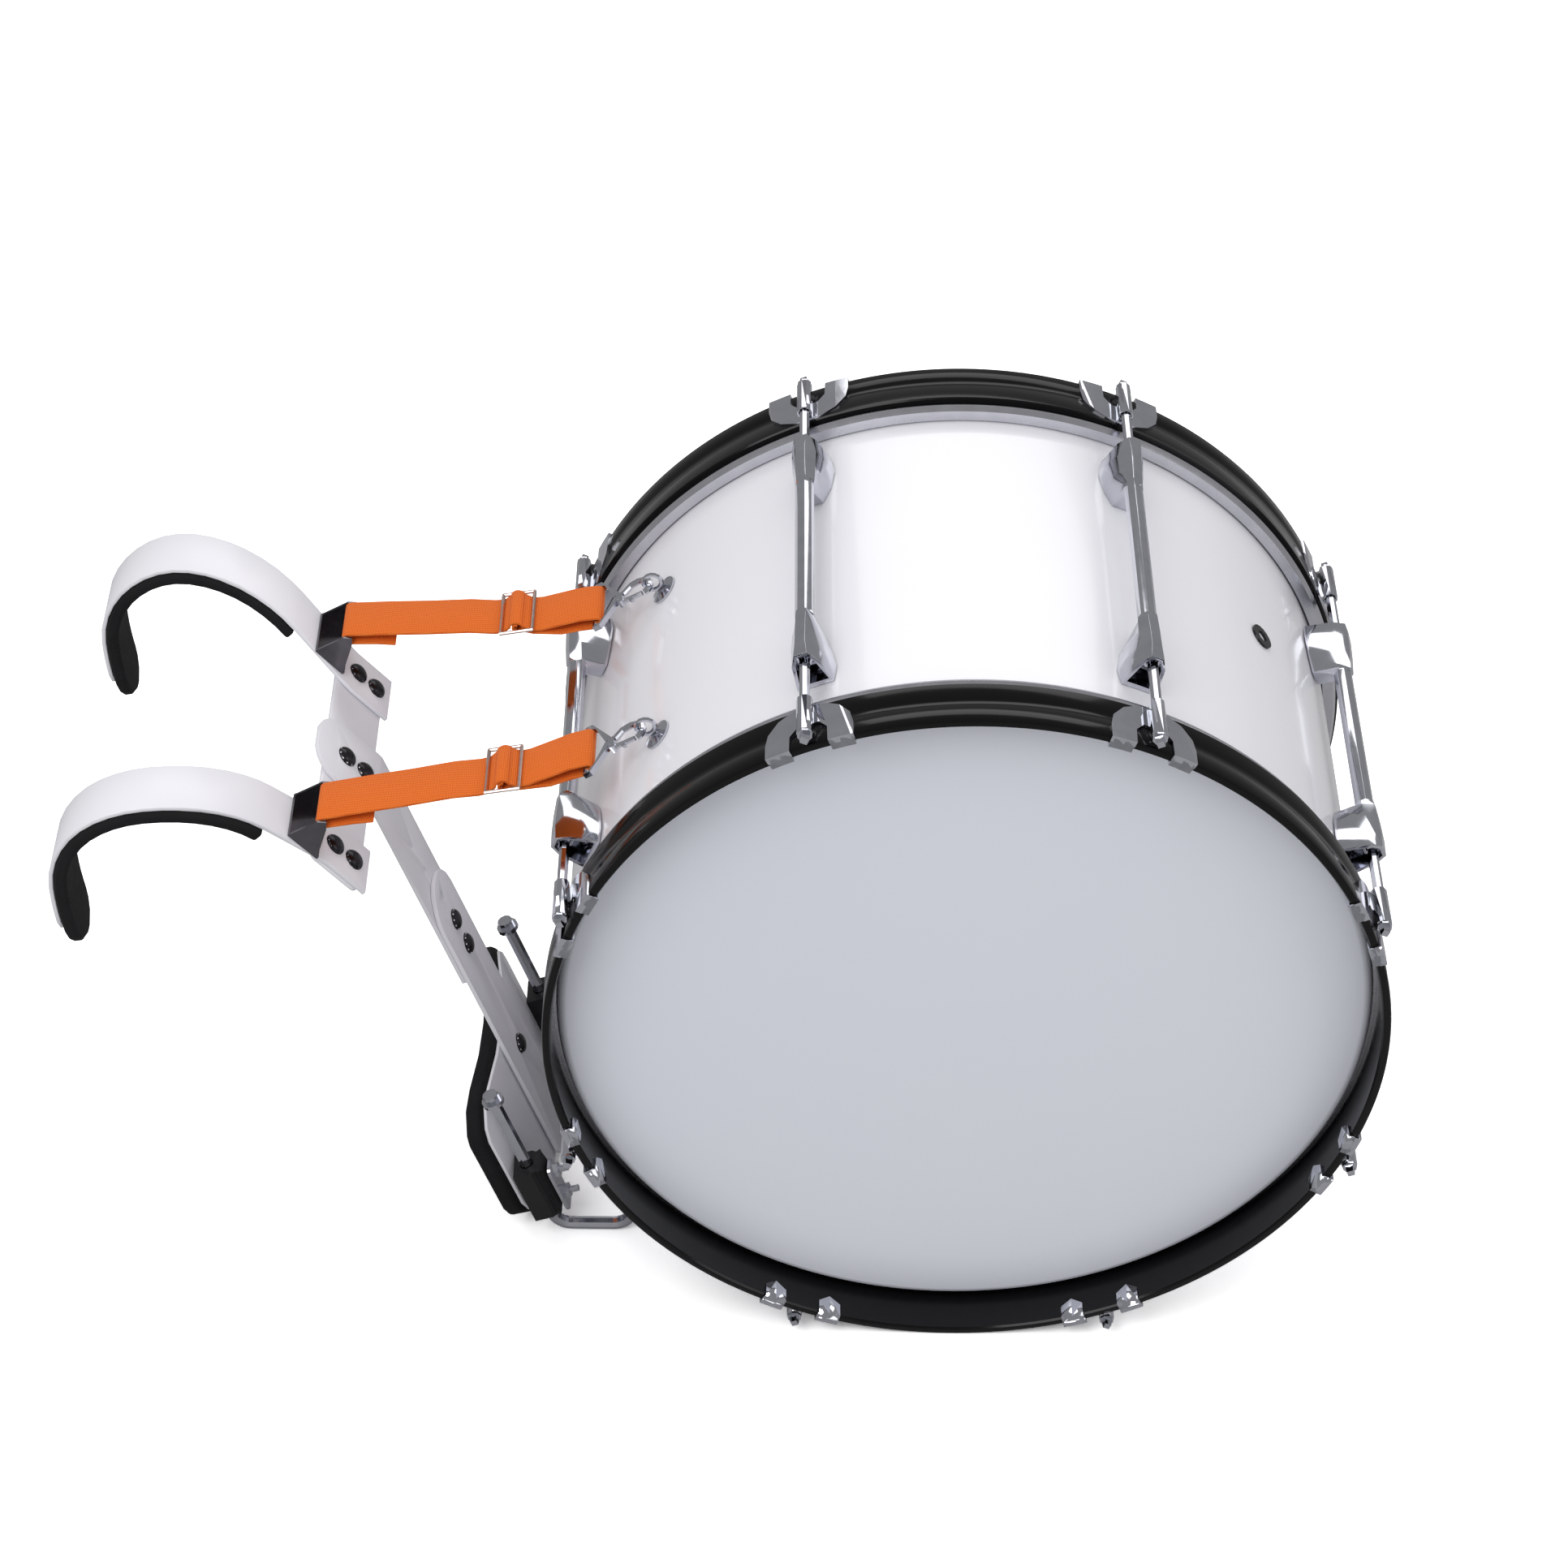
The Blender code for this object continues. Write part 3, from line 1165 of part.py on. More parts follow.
def make_snap(side_name, side):
    frame, reach = snap_frame(side_name + "_snap_centre", side)
    slack = EYE_RING_R - EYE_WIRE_R - SNAP_WIRE_R - GAP
    hold = reach - slack
    half = SNAP_FRAME_HALF
    neck = SNAP_NECK_X
    w = SNAP_WIRE_R
    name = side_name + "_snap_hook"
    bar = cylinder("bar", SNAP_BAR_R, -half, half, "Y", (0, 0), 10)
    adds = []
    for s in (-1, 1):
        cheek = [(-0.0022, s * (half - 0.0018)), (-0.0022, s * (half + 0.0014)), (0.0035, s * (half + 0.0014)),
                 (neck, s * 0.0038), (neck + 0.002, s * 0.0006), (neck - 0.004, s * 0.0006), (0.0060, s * (half - 0.0042))]
        adds.append(prism("cheek", cheek, -0.0021, 0.0021))
    jaw = [
        (neck - 0.002, 0.0), (neck + 0.003, 0.0018), (neck + 0.009, SNAP_JAW_OUT - 0.0012),
        (neck + 0.0155, SNAP_JAW_OUT), (hold - 0.0035, SNAP_JAW_OUT - 0.0020), (hold - 0.0006, 0.0032),
        (hold, 0.0), (hold - 0.0004, -0.0034), (hold - 0.0022, SNAP_GATE_Y + 0.0010), (hold - 0.0046, SNAP_GATE_Y),
    ]
    adds.append(wire_mesh("jaw", [(x, y, 0.0) for x, y in jaw], w))
    ears = prism("ears", [(neck - 0.0015, 0.0005), (neck + 0.0035, 0.0005), (neck + 0.0030, SNAP_GATE_Y + 0.0032),
                          (neck - 0.0012, SNAP_GATE_Y + 0.0032)], -0.0021, 0.0021)
    adds.append(ears)
    add_part(name, joined(name, bar, adds), "chrome", frame)
    pivot = empty(side_name + "_gate_pivot", frame, (neck + SNAP_HINGE_IN, SNAP_GATE_Y, 0))
    r = SNAP_GATE_R
    tip = hold - 0.0046 - SNAP_TIP_GAP - (neck + SNAP_HINGE_IN)
    gate = cylinder("gate", r, -0.0012, tip, "X", (0, 0), 8)
    knuckle = cylinder("knuckle", r + 0.0006, -0.0028, 0.0028, "Z", (0, 0), 10)
    thumb = prism("thumb", [(0.006, -r * 0.6), (0.010, -r * 0.6), (0.0105, -r - 0.0022), (0.0085, -r - 0.0022)], -0.0012, 0.0012)
    mesh = joined(side_name + "_snap_gate", gate, [knuckle, thumb])
    add_part(side_name + "_snap_gate", mesh, "chrome", pivot)


def make_drum():
    make_shell()
    make_vent()
    claw = claw_mesh()
    for name, side in (("right", -1), ("left", 1)):
        make_head(name + "_head", side)
        make_flesh_hoop(name + "_flesh_hoop", side)
        make_hoop(name + "_hoop", side, claw)
        make_eye_bolt(name + "_eye_bolt", side)
    make_stations()


def make_carrier():
    make_lower_bar()
    make_upper_bar()
    make_cross_bar()
    make_belly()
    for name, side in (("right", -1), ("left", 1)):
        make_hook(name + "_shoulder_hook", side)
        make_shoulder_pad(name + "_shoulder_pad", side)
        skew = make_stirrup(name + "_strap_stirrup", side)
        make_clamp(name + "_rod_clamp", side)
        make_clamp_plate(name + "_clamp_plate", side)
        make_jrod(name + "_j_rod", side)
        start, end = strap_ends(skew, side)
        frame, length = strap_frame(name + "_strap_line", start, end)
        drift = make_strap(name + "_strap", frame, skew, start, end, length)
        make_slider(name + "_slider", frame, drift)
        make_snap(name, side)


make_drum()
make_carrier()
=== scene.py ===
"""Looks of the marching bass drum and its shoulder carrier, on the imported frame."""

import json
import math

import bmesh
import bpy
from mathutils import Matrix, Vector


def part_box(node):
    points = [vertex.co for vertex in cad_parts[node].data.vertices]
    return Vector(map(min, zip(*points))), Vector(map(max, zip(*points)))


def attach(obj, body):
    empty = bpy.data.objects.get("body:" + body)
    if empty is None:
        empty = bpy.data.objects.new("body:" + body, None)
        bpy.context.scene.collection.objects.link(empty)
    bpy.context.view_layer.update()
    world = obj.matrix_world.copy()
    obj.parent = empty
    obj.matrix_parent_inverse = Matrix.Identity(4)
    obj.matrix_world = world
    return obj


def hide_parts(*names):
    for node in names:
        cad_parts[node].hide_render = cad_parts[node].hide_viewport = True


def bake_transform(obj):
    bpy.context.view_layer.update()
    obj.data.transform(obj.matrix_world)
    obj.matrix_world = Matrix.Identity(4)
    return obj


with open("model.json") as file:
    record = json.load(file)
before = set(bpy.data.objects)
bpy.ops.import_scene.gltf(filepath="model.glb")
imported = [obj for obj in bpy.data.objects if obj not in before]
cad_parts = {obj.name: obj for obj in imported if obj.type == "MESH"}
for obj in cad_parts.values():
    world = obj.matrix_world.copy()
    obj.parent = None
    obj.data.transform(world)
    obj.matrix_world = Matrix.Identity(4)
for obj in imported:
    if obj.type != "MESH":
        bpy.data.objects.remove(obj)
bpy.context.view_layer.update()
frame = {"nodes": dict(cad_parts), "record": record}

# Places read from the frame
ROOT_BODY = "drum_and_belly_plate"
SHOULDER_BODY = "shoulder_frame"
SIDES = {"left": 1, "right": -1}
HOOP_LOW, HOOP_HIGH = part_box("left_hoop")
HOOP_R = (HOOP_HIGH.x - HOOP_LOW.x) / 2
AXIS = Vector(((HOOP_HIGH.x + HOOP_LOW.x) / 2, 0.0, HOOP_LOW.z + HOOP_R))

# The photo's camera, measured from the drum's centre
CAMERA_FROM_DRUM = Vector((-0.1376, -2.1837, 1.9151))
CAMERA_RIGHT = Vector((0.99993991, 0.00363525, 0.01034206))
CAMERA_DOWN = Vector((0.01024329, -0.64589534, -0.76335724))
CAMERA_FORWARD = Vector((0.0039049, 0.76341731, -0.64589377))
CAMERA_LENS = 91.774
CAMERA_SENSOR = 36.0

# The floor is brighter to the camera than to the object, and the surround is dimmer in chrome
FLOOR_SIZE = 14.0
FLOOR_BOUNCE = 0.42
FLOOR_SEEN = 1.9
SURROUND_SEEN = 1.0
SURROUND_LIGHT = 0.66
SURROUND_MIRRORED = 0.30

# Soft boxes: place, size and power in watts, all aimed at the drum
LIGHT_AIM = Vector((0.1, 0, 0.3))
LIGHTS = {
    "key_softbox": ((-1.2, -1.6, 2.6), (1.8, 1.4), 27),
    "fill_softbox": ((2.2, -0.9, 1.7), (1.6, 1.6), 11),
    "rear_softbox": ((0.3, 2.0, 2.2), (2.2, 1.0), 12),
}

# Sides of the drum's round pieces
TURN_STEPS = 256

# The shell's ends: a rounded corner, then the slope of the bearing edge
SHELL_CORNER_IN = 0.0014
SHELL_CORNER_DEEP = 0.0012
SHELL_EDGE_IN = 0.0065
SHELL_EDGE_DEEP = 0.005

# A flesh hoop's crowned outside
FLESH_WIDE = 0.0100
FLESH_FLANK_IN = 0.0025
FLESH_CROWN_IN = 0.0004
FLESH_CROWN_DEEP = 0.0035

# The head's collar, as steps in from the rim and back from the face, and rings on the flat film
HEAD_COLLAR = ((0.0014, 0.0042), (0.0040, 0.0007), (0.0075, 0.0))
HEAD_RINGS = (0.85, 0.5)
FILM_THICK = 0.0004

# A counterhoop: its ply, its rounded edges and the shallow groove round its outside
HOOP_THICK = 0.0064
HOOP_ROUND = 0.0020
HOOP_ROUND_STEP = 0.0006
HOOP_EDGE = 0.0010
HOOP_MOUTH_DEEP = 0.0014
GROOVE_HALF = 0.0045
GROOVE_DEEP = 0.0007
GROOVE_FLOOR = 0.7

# The claws stand this far beyond the hoop's edge, and a face within the slack is the hoop's own
CLAW_PROUD = 0.0016
SLACK_INSIDE = 0.0009
SLACK = 0.0002
CLAW_WELD = 0.00001

# Rounded edges on copies of CAD nodes
WELD = 0.00002
FLAT_ANGLE = 1.0
EDGE_ANGLE = 35.0
CAST_EDGE = 0.0009
PLATE_EDGE = 0.0006
BELLY_FOAM_EDGE = 0.0035
PAD_FOAM_EDGE = 0.0030
WEB_EDGE = 0.0005

# Bolts on the carrier, in the planes of the cross bar and of the spine, from the drum's centre
YOKE_CENTRE = Vector((-0.4318, 0.0, 0.0817))
YOKE_TILT = 41.0
SPINE_FOOT = Vector((-0.324, 0.0, -0.192))
SPINE_TILT = 19.1
FOOT_Y = 0.095
FOOT_BOLT_STEP = 0.0093
SPINE_BOLTS = (0.133, 0.108, 0.0)
BOLT_R = 0.0080
BOLT_HIGH = 0.0045
BOLT_SUNK = 0.0004
BOLT_FLAT = 0.15
BOLT_SIDES = 28
DOME_ANGLES = range(0, 91, 15)

# The straps run this way
WEB_ALONG = Vector((0.984, 0, 0.18))


def srgb(colour):
    """Linear RGBA from an sRGB hex colour."""
    values = [int(colour[i : i + 2], 16) / 255 for i in (0, 2, 4)]
    return (*[v / 12.92 if v <= 0.04045 else ((v + 0.055) / 1.055) ** 2.4 for v in values], 1.0)


def feed(tree, node, values, links):
    for key, value in values.items():
        node.inputs[key].default_value = value
    for key, source in links.items():
        tree.links.new(source, node.inputs[key])


def add(tree, kind, values=None, links=None, **settings):
    """A node with its settings, its input values and what is linked into it."""
    node = tree.nodes.new(kind)
    for key, value in settings.items():
        setattr(node, key, value)
    feed(tree, node, values or {}, links or {})
    return node


# Materials. A scale is in features per metre, so 900 is a grain of 1.1 mm. A pixel of the
# render is about 1.1 mm, so finer grain than that is drawn as coarse as this, or it would not show.


def surface(name, tone, rough, relief, **inputs):
    """Noise shifts the tone and roughness. The relief is noise, or cells where it has no detail."""
    mat = bpy.data.materials.new(name)
    mat.use_nodes = True
    tree = mat.node_tree
    place = {"Vector": add(tree, "ShaderNodeTexCoord").outputs["Object"]}
    first, second, tone_scale = tone
    tones = add(tree, "ShaderNodeTexNoise", {"Scale": tone_scale, "Detail": 4.0}, place)
    colours = {"A": srgb(first), "B": srgb(second)}
    colour = add(tree, "ShaderNodeMix", colours, {"Factor": tones.outputs["Fac"]}, data_type="RGBA")
    low, high, rough_scale = rough
    wear = add(tree, "ShaderNodeTexNoise", {"Scale": rough_scale, "Detail": 4.0}, place)
    ends = {"To Min": low, "To Max": high}
    roughness = add(tree, "ShaderNodeMapRange", ends, {"Value": wear.outputs["Fac"]})
    scale, detail, strength, distance = relief
    if detail:
        height = add(tree, "ShaderNodeTexNoise", {"Scale": scale, "Detail": detail}, place).outputs["Fac"]
    else:
        height = add(tree, "ShaderNodeTexVoronoi", {"Scale": scale}, place).outputs["Distance"]
    size = {"Strength": strength, "Distance": distance}
    bump = add(tree, "ShaderNodeBump", size, {"Height": height})
    feed(tree, tree.nodes["Principled BSDF"], {key.replace("_", " "): v for key, v in inputs.items()}, {
        "Base Color": colour.outputs["Result"], "Roughness": roughness.outputs["Result"],
        "Normal": bump.outputs["Normal"],
    })
    return mat


def plated(name, tone, low, high):
    """Plated or blackened steel: a mirror whose polish varies a little over 8 mm."""
    return surface(name, (*tone, 60.0), (low, high, 120.0), (240.0, 3.0, 0.03, 0.0002), Metallic=1.0)


def webbing():
    """Woven polyester: a rib each 2.4 mm along it and a pick each 1.2 mm across it, by UV in metres."""
    mat = bpy.data.materials.new("orange_webbing")
    mat.use_nodes = True
    tree = mat.node_tree
    uv = {"Vector": add(tree, "ShaderNodeUVMap", uv_map="UVMap").outputs["UV"]}
    rib_look = {"Scale": 130.0, "Distortion": 0.4, "Detail": 1.0}
    ribs = add(tree, "ShaderNodeTexWave", rib_look, uv, bands_direction="Y")
    pick_look = {"Scale": 260.0, "Distortion": 0.8, "Detail": 1.0}
    picks = add(tree, "ShaderNodeTexWave", pick_look, uv, bands_direction="X")
    sources = {0: ribs.outputs["Fac"], 2: picks.outputs["Fac"]}
    both = add(tree, "ShaderNodeMath", {1: 0.7}, sources, operation="MULTIPLY_ADD").outputs["Value"]
    tone = add(tree, "ShaderNodeMapRange", {"To Min": 0.0, "To Max": 1.0}, {"Value": both})
    colours = {"A": srgb("D8540F"), "B": srgb("F07A2C")}
    colour = add(tree, "ShaderNodeMix", colours, {"Factor": tone.outputs["Result"]}, data_type="RGBA")
    bump = add(tree, "ShaderNodeBump", {"Strength": 0.55, "Distance": 0.0005}, {"Height": both})
    place = {"Vector": add(tree, "ShaderNodeTexCoord").outputs["Object"]}
    wear = add(tree, "ShaderNodeTexNoise", {"Scale": 200.0, "Detail": 4.0}, place)
    ends = {"To Min": 0.62, "To Max": 0.80}
    roughness = add(tree, "ShaderNodeMapRange", ends, {"Value": wear.outputs["Fac"]})
    feed(tree, tree.nodes["Principled BSDF"], {"Sheen Weight": 0.05, "Specular IOR Level": 0.2}, {
        "Base Color": colour.outputs["Result"], "Roughness": roughness.outputs["Result"],
        "Normal": bump.outputs["Normal"],
    })
    return mat


def floor_ground():
    """White ground that stays white to the camera and takes soft shadows."""
    mat = bpy.data.materials.new("pale_floor")
    mat.use_nodes = True
    tree = mat.node_tree
    path = add(tree, "ShaderNodeLightPath")
    tones = {"A": (*[FLOOR_BOUNCE] * 3, 1.0), "B": (*[FLOOR_SEEN] * 3, 1.0)}
    seen = add(tree, "ShaderNodeMix", tones, {"Factor": path.outputs["Is Camera Ray"]}, data_type="RGBA")
    values = {"Roughness": 0.9, "Specular IOR Level": 0.0}
    feed(tree, tree.nodes["Principled BSDF"], values, {"Base Color": seen.outputs["Result"]})
    return mat


MATERIALS = {
    # Laminated wrap, pressed flat: glossy white, with the shell's faint unevenness over 60 mm
    "shell_wrap": surface(
        "gloss_shell_wrap", ("EFEFF5", "F6F5FA", 3.0), (0.16, 0.24, 9.0), (16.0, 2.0, 0.03, 0.001),
        Coat_Weight=0.4, Coat_Roughness=0.08,
    ),
    # Coated polyester film: a slight blue cast and a fine tooth that scatters the highlight
    "head_film": surface(
        "drum_head_film", ("E9ECF8", "F1F3FB", 2.5), (0.34, 0.46, 30.0), (900.0, 2.0, 0.05, 0.0003),
    ),
    # Lacquer over maple ply: black, deep and smooth
    "hoop_lacquer": surface(
        "black_hoop_lacquer", ("040405", "08080A", 12.0), (0.10, 0.20, 22.0), (30.0, 2.0, 0.02, 0.0004),
        Coat_Weight=0.1, Coat_Roughness=0.04, Specular_IOR_Level=0.22,
    ),
    "flesh_metal": plated("plated_flesh_hoop", ("C4C5CC", "DCDCE2"), 0.20, 0.32),
    "chrome": plated("polished_chrome", ("C2C4CD", "DADBE2"), 0.05, 0.13),
    "dark_nickel": plated("dark_nickel", ("565459", "7C797E"), 0.16, 0.28),
    # Powder coat, baked: white with a fine orange peel
    "carrier_paint": surface(
        "white_carrier_coat", ("EAE9F0", "F3F2F7", 8.0), (0.32, 0.44, 40.0), (700.0, 2.0, 0.08, 0.0003),
    ),
    # Closed-cell foam: near black, dull, with open pores where it was cut
    "foam": surface(
        "black_pad_foam", ("101012", "1D1D20", 60.0), (0.78, 0.92, 90.0), (900.0, 0.0, 0.35, 0.0006),
        Specular_IOR_Level=0.3,
    ),
    # Moulded nylon: black with a grained skin
    "clamp_plastic": surface(
        "black_clamp_nylon", ("0D0D10", "18181C", 50.0), (0.36, 0.52, 90.0), (1100.0, 3.0, 0.15, 0.0003),
    ),
    "webbing": webbing(),
    # Dark steel for the bolt heads, also laid on the air vent as painted shade for the dark inside of its
    # hole
    "bolt": plated("dark_bolt_steel_and_vent_shade", ("29282B", "4A484C"), 0.22, 0.34),
    "slider_wire": plated("slider_nickel", ("CBB1A8", "E2CBC3"), 0.14, 0.26),
}


def dress_frame():
    """Every CAD node takes the finish of its slot, and the air vent takes the dark bolt finish, as
    painted shade for the dark inside of its hole.
    """
    slots = {s["node"]: s["material_slot"] for s in frame["record"]["subparts"]}
    for name, obj in frame["nodes"].items():
        obj.data.materials.clear()
        # The air vent is painted dark: painted shade for the inside of its hole
        obj.data.materials.append(MATERIALS["bolt" if name == "air_vent" else slots[name]])


# Mesh helpers


def new_object(name, bm, material):
    mesh = bpy.data.meshes.new(name)
    bmesh.ops.recalc_face_normals(bm, faces=bm.faces[:])
    bm.to_mesh(mesh)
    bm.free()
    mesh.materials.append(MATERIALS[material])
    obj = bpy.data.objects.new(name, mesh)
    bpy.context.scene.collection.objects.link(obj)
    return obj


def apply_modifiers(obj):
    """Turn an object with modifiers into a plain mesh."""
    bpy.context.view_layer.update()
    graph = bpy.context.evaluated_depsgraph_get()
    mesh = bpy.data.meshes.new_from_object(obj.evaluated_get(graph))
    obj.modifiers.clear()
    obj.data = mesh
    return obj


def smooth(obj, angle):
    obj.data.shade_smooth()
    obj.data.set_sharp_from_angle(angle=math.radians(angle))
    return obj


def declare(obj, node, body):
    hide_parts(node)
    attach(obj, body)


def circle(radius, steps):
    turns = [2 * math.pi * i / steps for i in range(steps)]
    return [(radius * math.cos(t), radius * math.sin(t)) for t in turns]


def skin(bm, loops):
    """Faces between each loop of vertices and the next one."""
    for a, b in zip(loops, loops[1:]):
        for i in range(len(a)):
            j = (i + 1) % len(a)
            bm.faces.new((a[i], a[j], b[j], b[i]))


def drum_loops(bm, profile):
    """A loop of vertices about the drum's axis for each (radius, y) of a profile."""
    return [
        [bm.verts.new((AXIS.x + x, y, AXIS.z + z)) for x, z in circle(radius, TURN_STEPS)]
        for radius, y in profile
    ]


def turned_ring(name, profile, material):
    """A closed profile of (radius, y) turned about the drum's axis."""
    bm = bmesh.new()
    loops = drum_loops(bm, profile)
    skin(bm, loops + loops[:1])
    return smooth(new_object(name, bm, material), 30.0)


def softened(name, node, material, width, segments):
    """A copy of a CAD node with its edges rounded."""
    obj = bpy.data.objects.new(name, frame["nodes"][node].data.copy())
    bpy.context.scene.collection.objects.link(obj)
    obj.data.materials.clear()
    obj.data.materials.append(MATERIALS[material])
    bm = bmesh.new()
    bm.from_mesh(obj.data)
    bmesh.ops.remove_doubles(bm, verts=bm.verts[:], dist=WELD)
    flat = math.radians(FLAT_ANGLE)
    bmesh.ops.dissolve_limit(bm, angle_limit=flat, verts=bm.verts[:], edges=bm.edges[:])
    bm.to_mesh(obj.data)
    bm.free()
    bevel = obj.modifiers.new("edges", "BEVEL")
    bevel.width = width
    bevel.segments = segments
    bevel.limit_method = "ANGLE"
    bevel.angle_limit = math.radians(EDGE_ANGLE)
    return smooth(apply_modifiers(obj), 50.0)


# Drum


def round_extent(node, sign=1):
    """The radius of a round CAD node, and its outer and inner y on one side of the drum."""
    low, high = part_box(node)
    outer, inner = (high.y, low.y) if sign > 0 else (low.y, high.y)
    return (high.x - low.x) / 2, outer, inner


def make_shell():
    """The shell's round outside, at the CAD shell's size."""
    radius, top, bottom = round_extent("shell")
    edge, corner = radius - SHELL_EDGE_IN, radius - SHELL_CORNER_IN
    profile = [(edge, bottom + SHELL_EDGE_DEEP), (corner, bottom), (radius, bottom + SHELL_CORNER_DEEP)]
    profile += [(radius, top - SHELL_CORNER_DEEP), (corner, top), (edge, top - SHELL_EDGE_DEEP)]
    declare(turned_ring("shell_skin", profile, "shell_wrap"), "shell", ROOT_BODY)


def make_flesh_hoop(side):
    """A plated ring with a crowned outside."""
    node = side + "_flesh_hoop"
    radius, top, bottom = round_extent(node)
    inner, flank, crown = radius - FLESH_WIDE, radius - FLESH_FLANK_IN, radius - FLESH_CROWN_IN
    profile = [(inner, bottom), (flank, bottom), (crown, bottom + FLESH_CROWN_DEEP)]
    profile += [(radius, (bottom + top) / 2), (crown, top - FLESH_CROWN_DEEP), (flank, top), (inner, top)]
    declare(turned_ring(side + "_flesh_ring", profile, "flesh_metal"), node, ROOT_BODY)


def make_head(side):
    """A film with a rounded collar at its rim."""
    node = side + "_head"
    sign = SIDES[side]
    radius, face, back = round_extent(node, sign)
    profile = [(radius, back)] + [(radius - into, face - sign * deep) for into, deep in HEAD_COLLAR]
    profile += [(radius * part, face) for part in HEAD_RINGS]
    bm = bmesh.new()
    loops = drum_loops(bm, profile)
    skin(bm, loops)
    bm.faces.new(loops[-1])
    obj = smooth(new_object(side + "_head_film", bm, "head_film"), 60.0)
    film = obj.modifiers.new("film", "SOLIDIFY")
    film.thickness = FILM_THICK
    film.offset = -1.0
    declare(apply_modifiers(obj), node, ROOT_BODY)


def make_hoop(side):
    """A round black hoop with a shallow groove, and the claws of the CAD node cut free of it."""
    node = side + "_hoop"
    sign = SIDES[side]
    _, face, inner = round_extent(node, sign)
    outer = face - sign * CLAW_PROUD
    middle = (outer + inner) / 2
    bottom, floor = HOOP_R - GROOVE_DEEP, sign * GROOVE_HALF * GROOVE_FLOOR
    profile = [
        (HOOP_R - HOOP_ROUND, outer), (HOOP_R - HOOP_ROUND_STEP, outer - sign * HOOP_ROUND_STEP),
        (HOOP_R, outer - sign * HOOP_ROUND), (HOOP_R, middle + sign * GROOVE_HALF),
        (bottom, middle + floor), (bottom, middle - floor),
        (HOOP_R, middle - sign * GROOVE_HALF), (HOOP_R, inner + sign * HOOP_EDGE),
        (HOOP_R - HOOP_EDGE, inner), (HOOP_R - HOOP_THICK, inner),
        (HOOP_R - HOOP_THICK, outer - sign * HOOP_MOUTH_DEEP), (HOOP_R - HOOP_THICK + HOOP_EDGE, outer),
    ]
    ring = turned_ring(side + "_hoop_ring", profile, "hoop_lacquer")
    declare(ring, node, ROOT_BODY)
    declare(claw_copies(side, node, abs(outer)), node, ROOT_BODY)


def claw_copies(side, node, outer):
    """The faces of the hoop's node that stand off the hoop are its claws."""

    def on_hoop(vert):
        radius = math.hypot(vert.co.x - AXIS.x, vert.co.z - AXIS.z)
        in_ply = HOOP_R - HOOP_THICK - SLACK_INSIDE <= radius <= HOOP_R + SLACK
        return in_ply and abs(vert.co.y) <= outer + SLACK

    bm = bmesh.new()
    bm.from_mesh(frame["nodes"][node].data)
    bmesh.ops.remove_doubles(bm, verts=bm.verts[:], dist=CLAW_WELD)
    gone = [face for face in bm.faces if all(on_hoop(vert) for vert in face.verts)]
    bmesh.ops.delete(bm, geom=gone, context="FACES")
    return smooth(new_object(side + "_claws", bm, "chrome"), 30.0)


# Pieces that keep their CAD form, with rounded edges


def make_softened():
    """Cast lugs, then the carrier's painted bars, plate and hooks."""
    rows = [(f"lug_{i}", "casting", "chrome", ROOT_BODY, CAST_EDGE, 3) for i in range(1, 9)]
    bars = (("upper_spine_bar", SHOULDER_BODY), ("cross_bar", SHOULDER_BODY))
    bars += (("lower_spine_bar", ROOT_BODY), ("belly_plate", ROOT_BODY))
    rows += [(node, "plate", "carrier_paint", body, PLATE_EDGE, 2) for node, body in bars]
    hooks = [side + "_shoulder_hook" for side in SIDES]
    rows += [(node, "band", "carrier_paint", SHOULDER_BODY, PLATE_EDGE, 2) for node in hooks]
    for node, ending, slot, body, width, segments in rows:
        declare(softened(f"{node}_{ending}", node, slot, width, segments), node, body)


# Carrier


def dome(bm, spot, turn):
    """A domed bolt head on a face whose normal is +X before the turn."""
    rings = [(-BOLT_SUNK, BOLT_R)]
    for angle in DOME_ANGLES:
        a = math.radians(angle)
        rings.append((BOLT_HIGH * math.sin(a), BOLT_R * (BOLT_FLAT + (1 - BOLT_FLAT) * math.cos(a))))
    loops = [
        [bm.verts.new(AXIS + spot + turn @ Vector((x, y, z))) for y, z in circle(radius, BOLT_SIDES)]
        for x, radius in rings
    ]
    skin(bm, loops)
    bm.faces.new(loops[-1])
    bm.faces.new(loops[0])


def make_bolts():
    """Dark domed bolt heads over the carrier's bolts."""
    rows = (
        ("yoke_bolt_heads", YOKE_TILT, YOKE_CENTRE, SHOULDER_BODY,
         [(y, z) for y in (-FOOT_Y, 0.0, FOOT_Y) for z in (-FOOT_BOLT_STEP, FOOT_BOLT_STEP)]),
        ("spine_bolt_heads", SPINE_TILT, SPINE_FOOT, ROOT_BODY, [(0, z) for z in SPINE_BOLTS]),
    )
    for name, tilt, centre, body, spots in rows:
        turn = Matrix.Rotation(math.radians(-tilt), 3, "Y")
        bm = bmesh.new()
        for y, z in spots:
            dome(bm, centre + turn @ Vector((0, y, z)), turn)
        heads = smooth(new_object(name, bm, "bolt"), 60.0)
        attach(heads, body)


def make_foam():
    """Foam pieces with rounded, slightly swollen edges."""
    pieces = [("belly_pad", ROOT_BODY, BELLY_FOAM_EDGE)]
    pieces += [(side + "_shoulder_pad", SHOULDER_BODY, PAD_FOAM_EDGE) for side in SIDES]
    for node, body, width in pieces:
        obj = softened(node + "_foam", node, "foam", width, 4)
        declare(obj, node, body)


def web_uv(obj, origin):
    """UV in metres: U along the strap and V across it."""
    mesh = obj.data
    layer = mesh.uv_layers.get("UVMap") or mesh.uv_layers.new(name="UVMap")
    for loop, uv in zip(mesh.loops, layer.data):
        co = mesh.vertices[loop.vertex_index].co - origin
        uv.uv = (co.dot(WEB_ALONG), co.y)


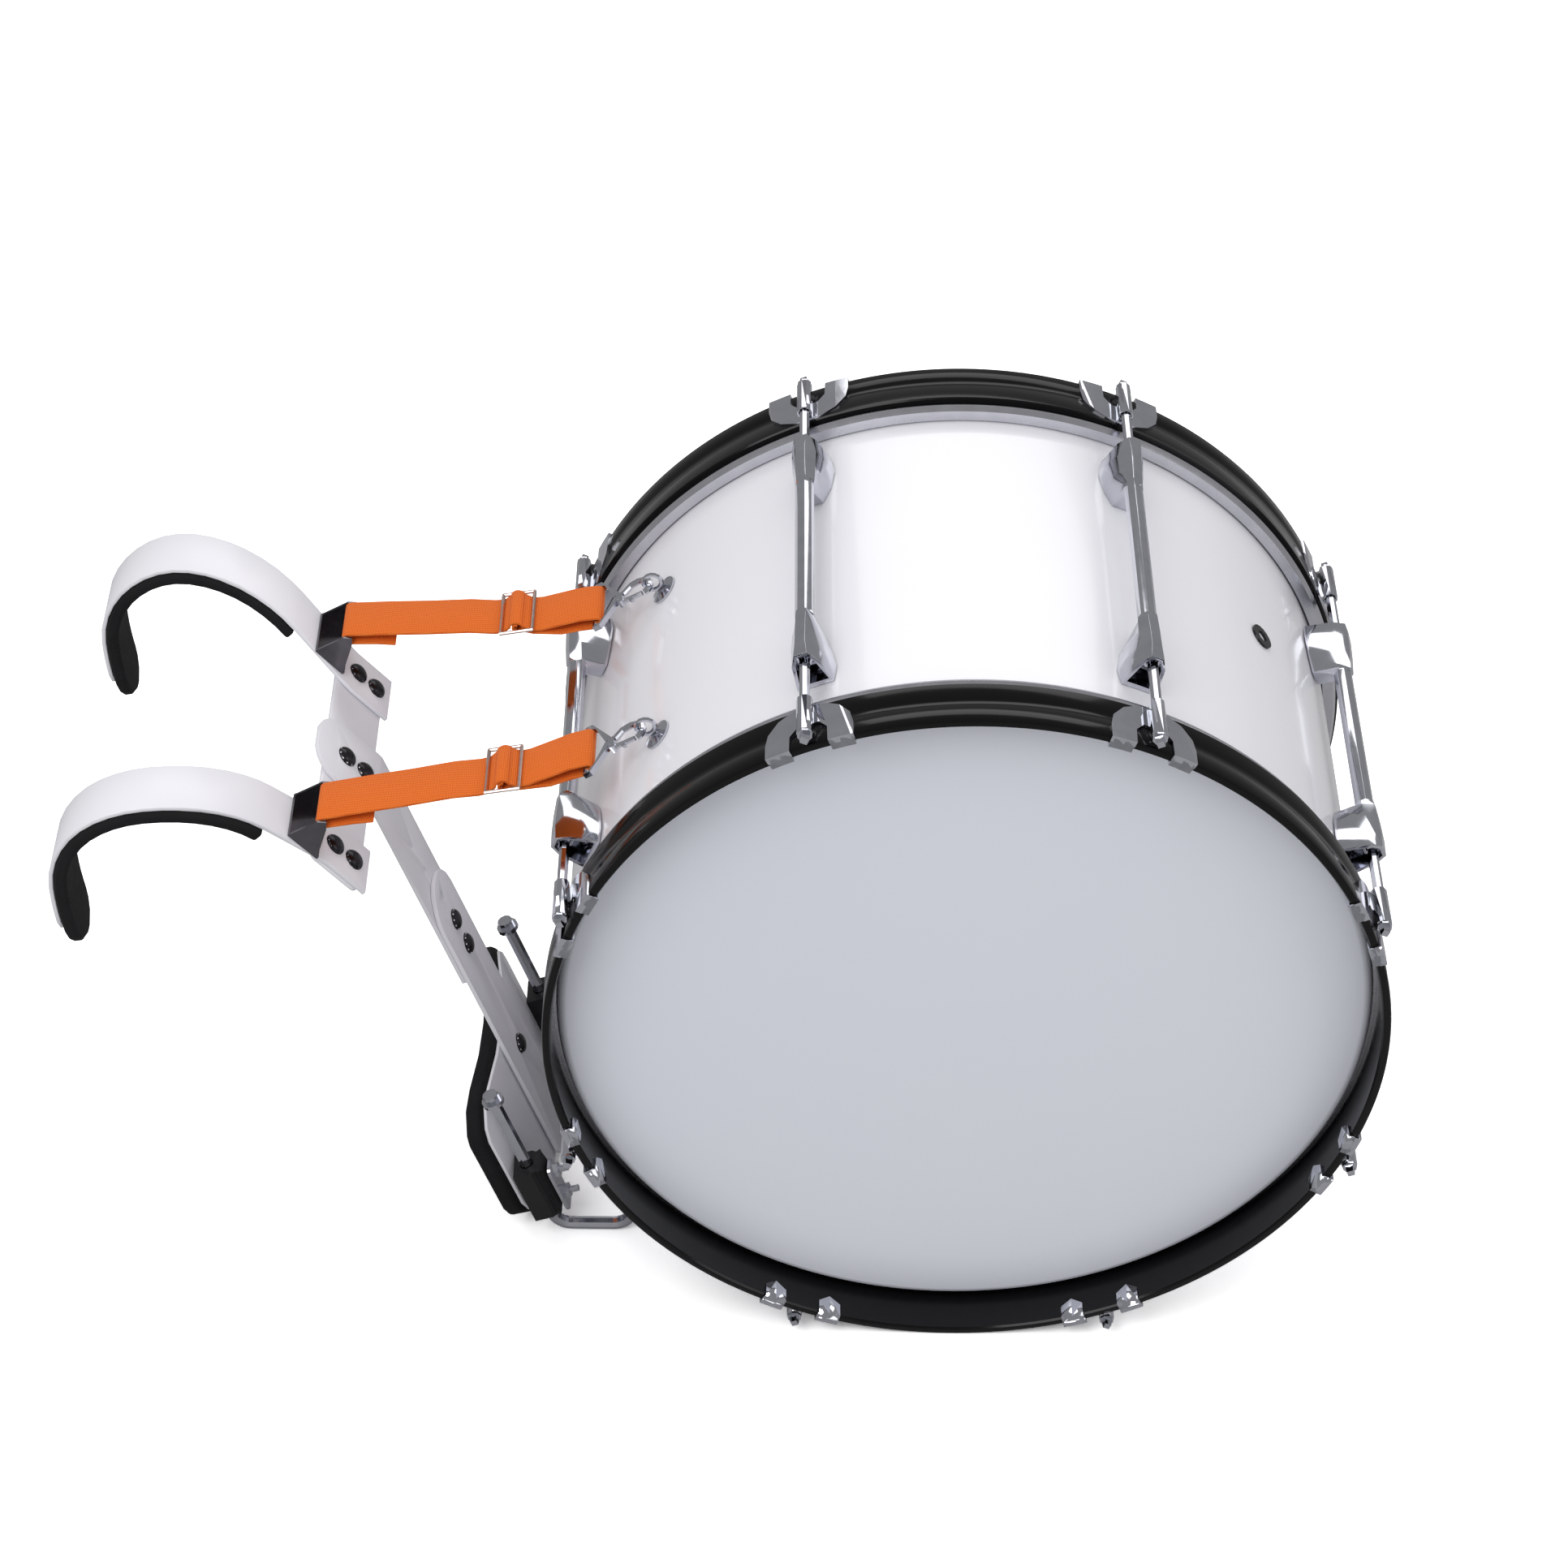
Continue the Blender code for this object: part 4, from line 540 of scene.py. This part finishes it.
def make_straps():
    for side in SIDES:
        node = side + "_strap"
        low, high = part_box(node)
        obj = softened(node + "_web", node, "webbing", WEB_EDGE, 2)
        web_uv(obj, Vector((low.x, 0, low.z)))
        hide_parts(node)
        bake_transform(obj)


# Stage


def make_stage():
    bpy.ops.mesh.primitive_plane_add(size=FLOOR_SIZE, location=(0, 0, 0))
    floor = bpy.context.object
    floor.name = "studio_floor"
    floor.data.materials.append(floor_ground())


def make_lights():
    for name, (place, size, power) in LIGHTS.items():
        data = bpy.data.lights.new(name, "AREA")
        data.shape = "RECTANGLE"
        data.size, data.size_y = size
        data.energy = power
        obj = bpy.data.objects.new(name, data)
        obj.location = place
        obj.rotation_euler = (LIGHT_AIM - Vector(place)).to_track_quat("-Z", "Y").to_euler()
        bpy.context.scene.collection.objects.link(obj)


def make_world():
    """A white surround that reads pure white to the camera and lights the scene softly."""
    world = bpy.data.worlds.new("studio_world")
    bpy.context.scene.world = world
    world.use_nodes = True
    tree = world.node_tree
    path = add(tree, "ShaderNodeLightPath").outputs
    strengths = {"A": SURROUND_LIGHT, "B": SURROUND_MIRRORED}
    mirrored = add(tree, "ShaderNodeMix", strengths, {"Factor": path["Is Glossy Ray"]})
    sources = {"Factor": path["Is Camera Ray"], "A": mirrored.outputs["Result"]}
    seen = add(tree, "ShaderNodeMix", {"B": SURROUND_SEEN}, sources)
    background = tree.nodes["Background"]
    feed(tree, background, {"Color": srgb("FFFFFF")}, {"Strength": seen.outputs["Result"]})


def make_camera():
    data = bpy.data.cameras.new("photo_camera")
    data.sensor_width = CAMERA_SENSOR
    data.lens = CAMERA_LENS
    obj = bpy.data.objects.new("photo_camera", data)
    bpy.context.scene.collection.objects.link(obj)
    turn = Matrix((CAMERA_RIGHT, -CAMERA_DOWN, -CAMERA_FORWARD)).transposed().to_4x4()
    obj.matrix_world = Matrix.Translation(AXIS + CAMERA_FROM_DRUM) @ turn
    bpy.context.scene.camera = obj


dress_frame()
make_shell()
for side_name in SIDES:
    make_flesh_hoop(side_name)
    make_head(side_name)
    make_hoop(side_name)
make_softened()
make_bolts()
make_foam()
make_straps()
make_stage()
make_lights()
make_world()
make_camera()
view = bpy.context.scene.view_settings
view.view_transform = "Standard"
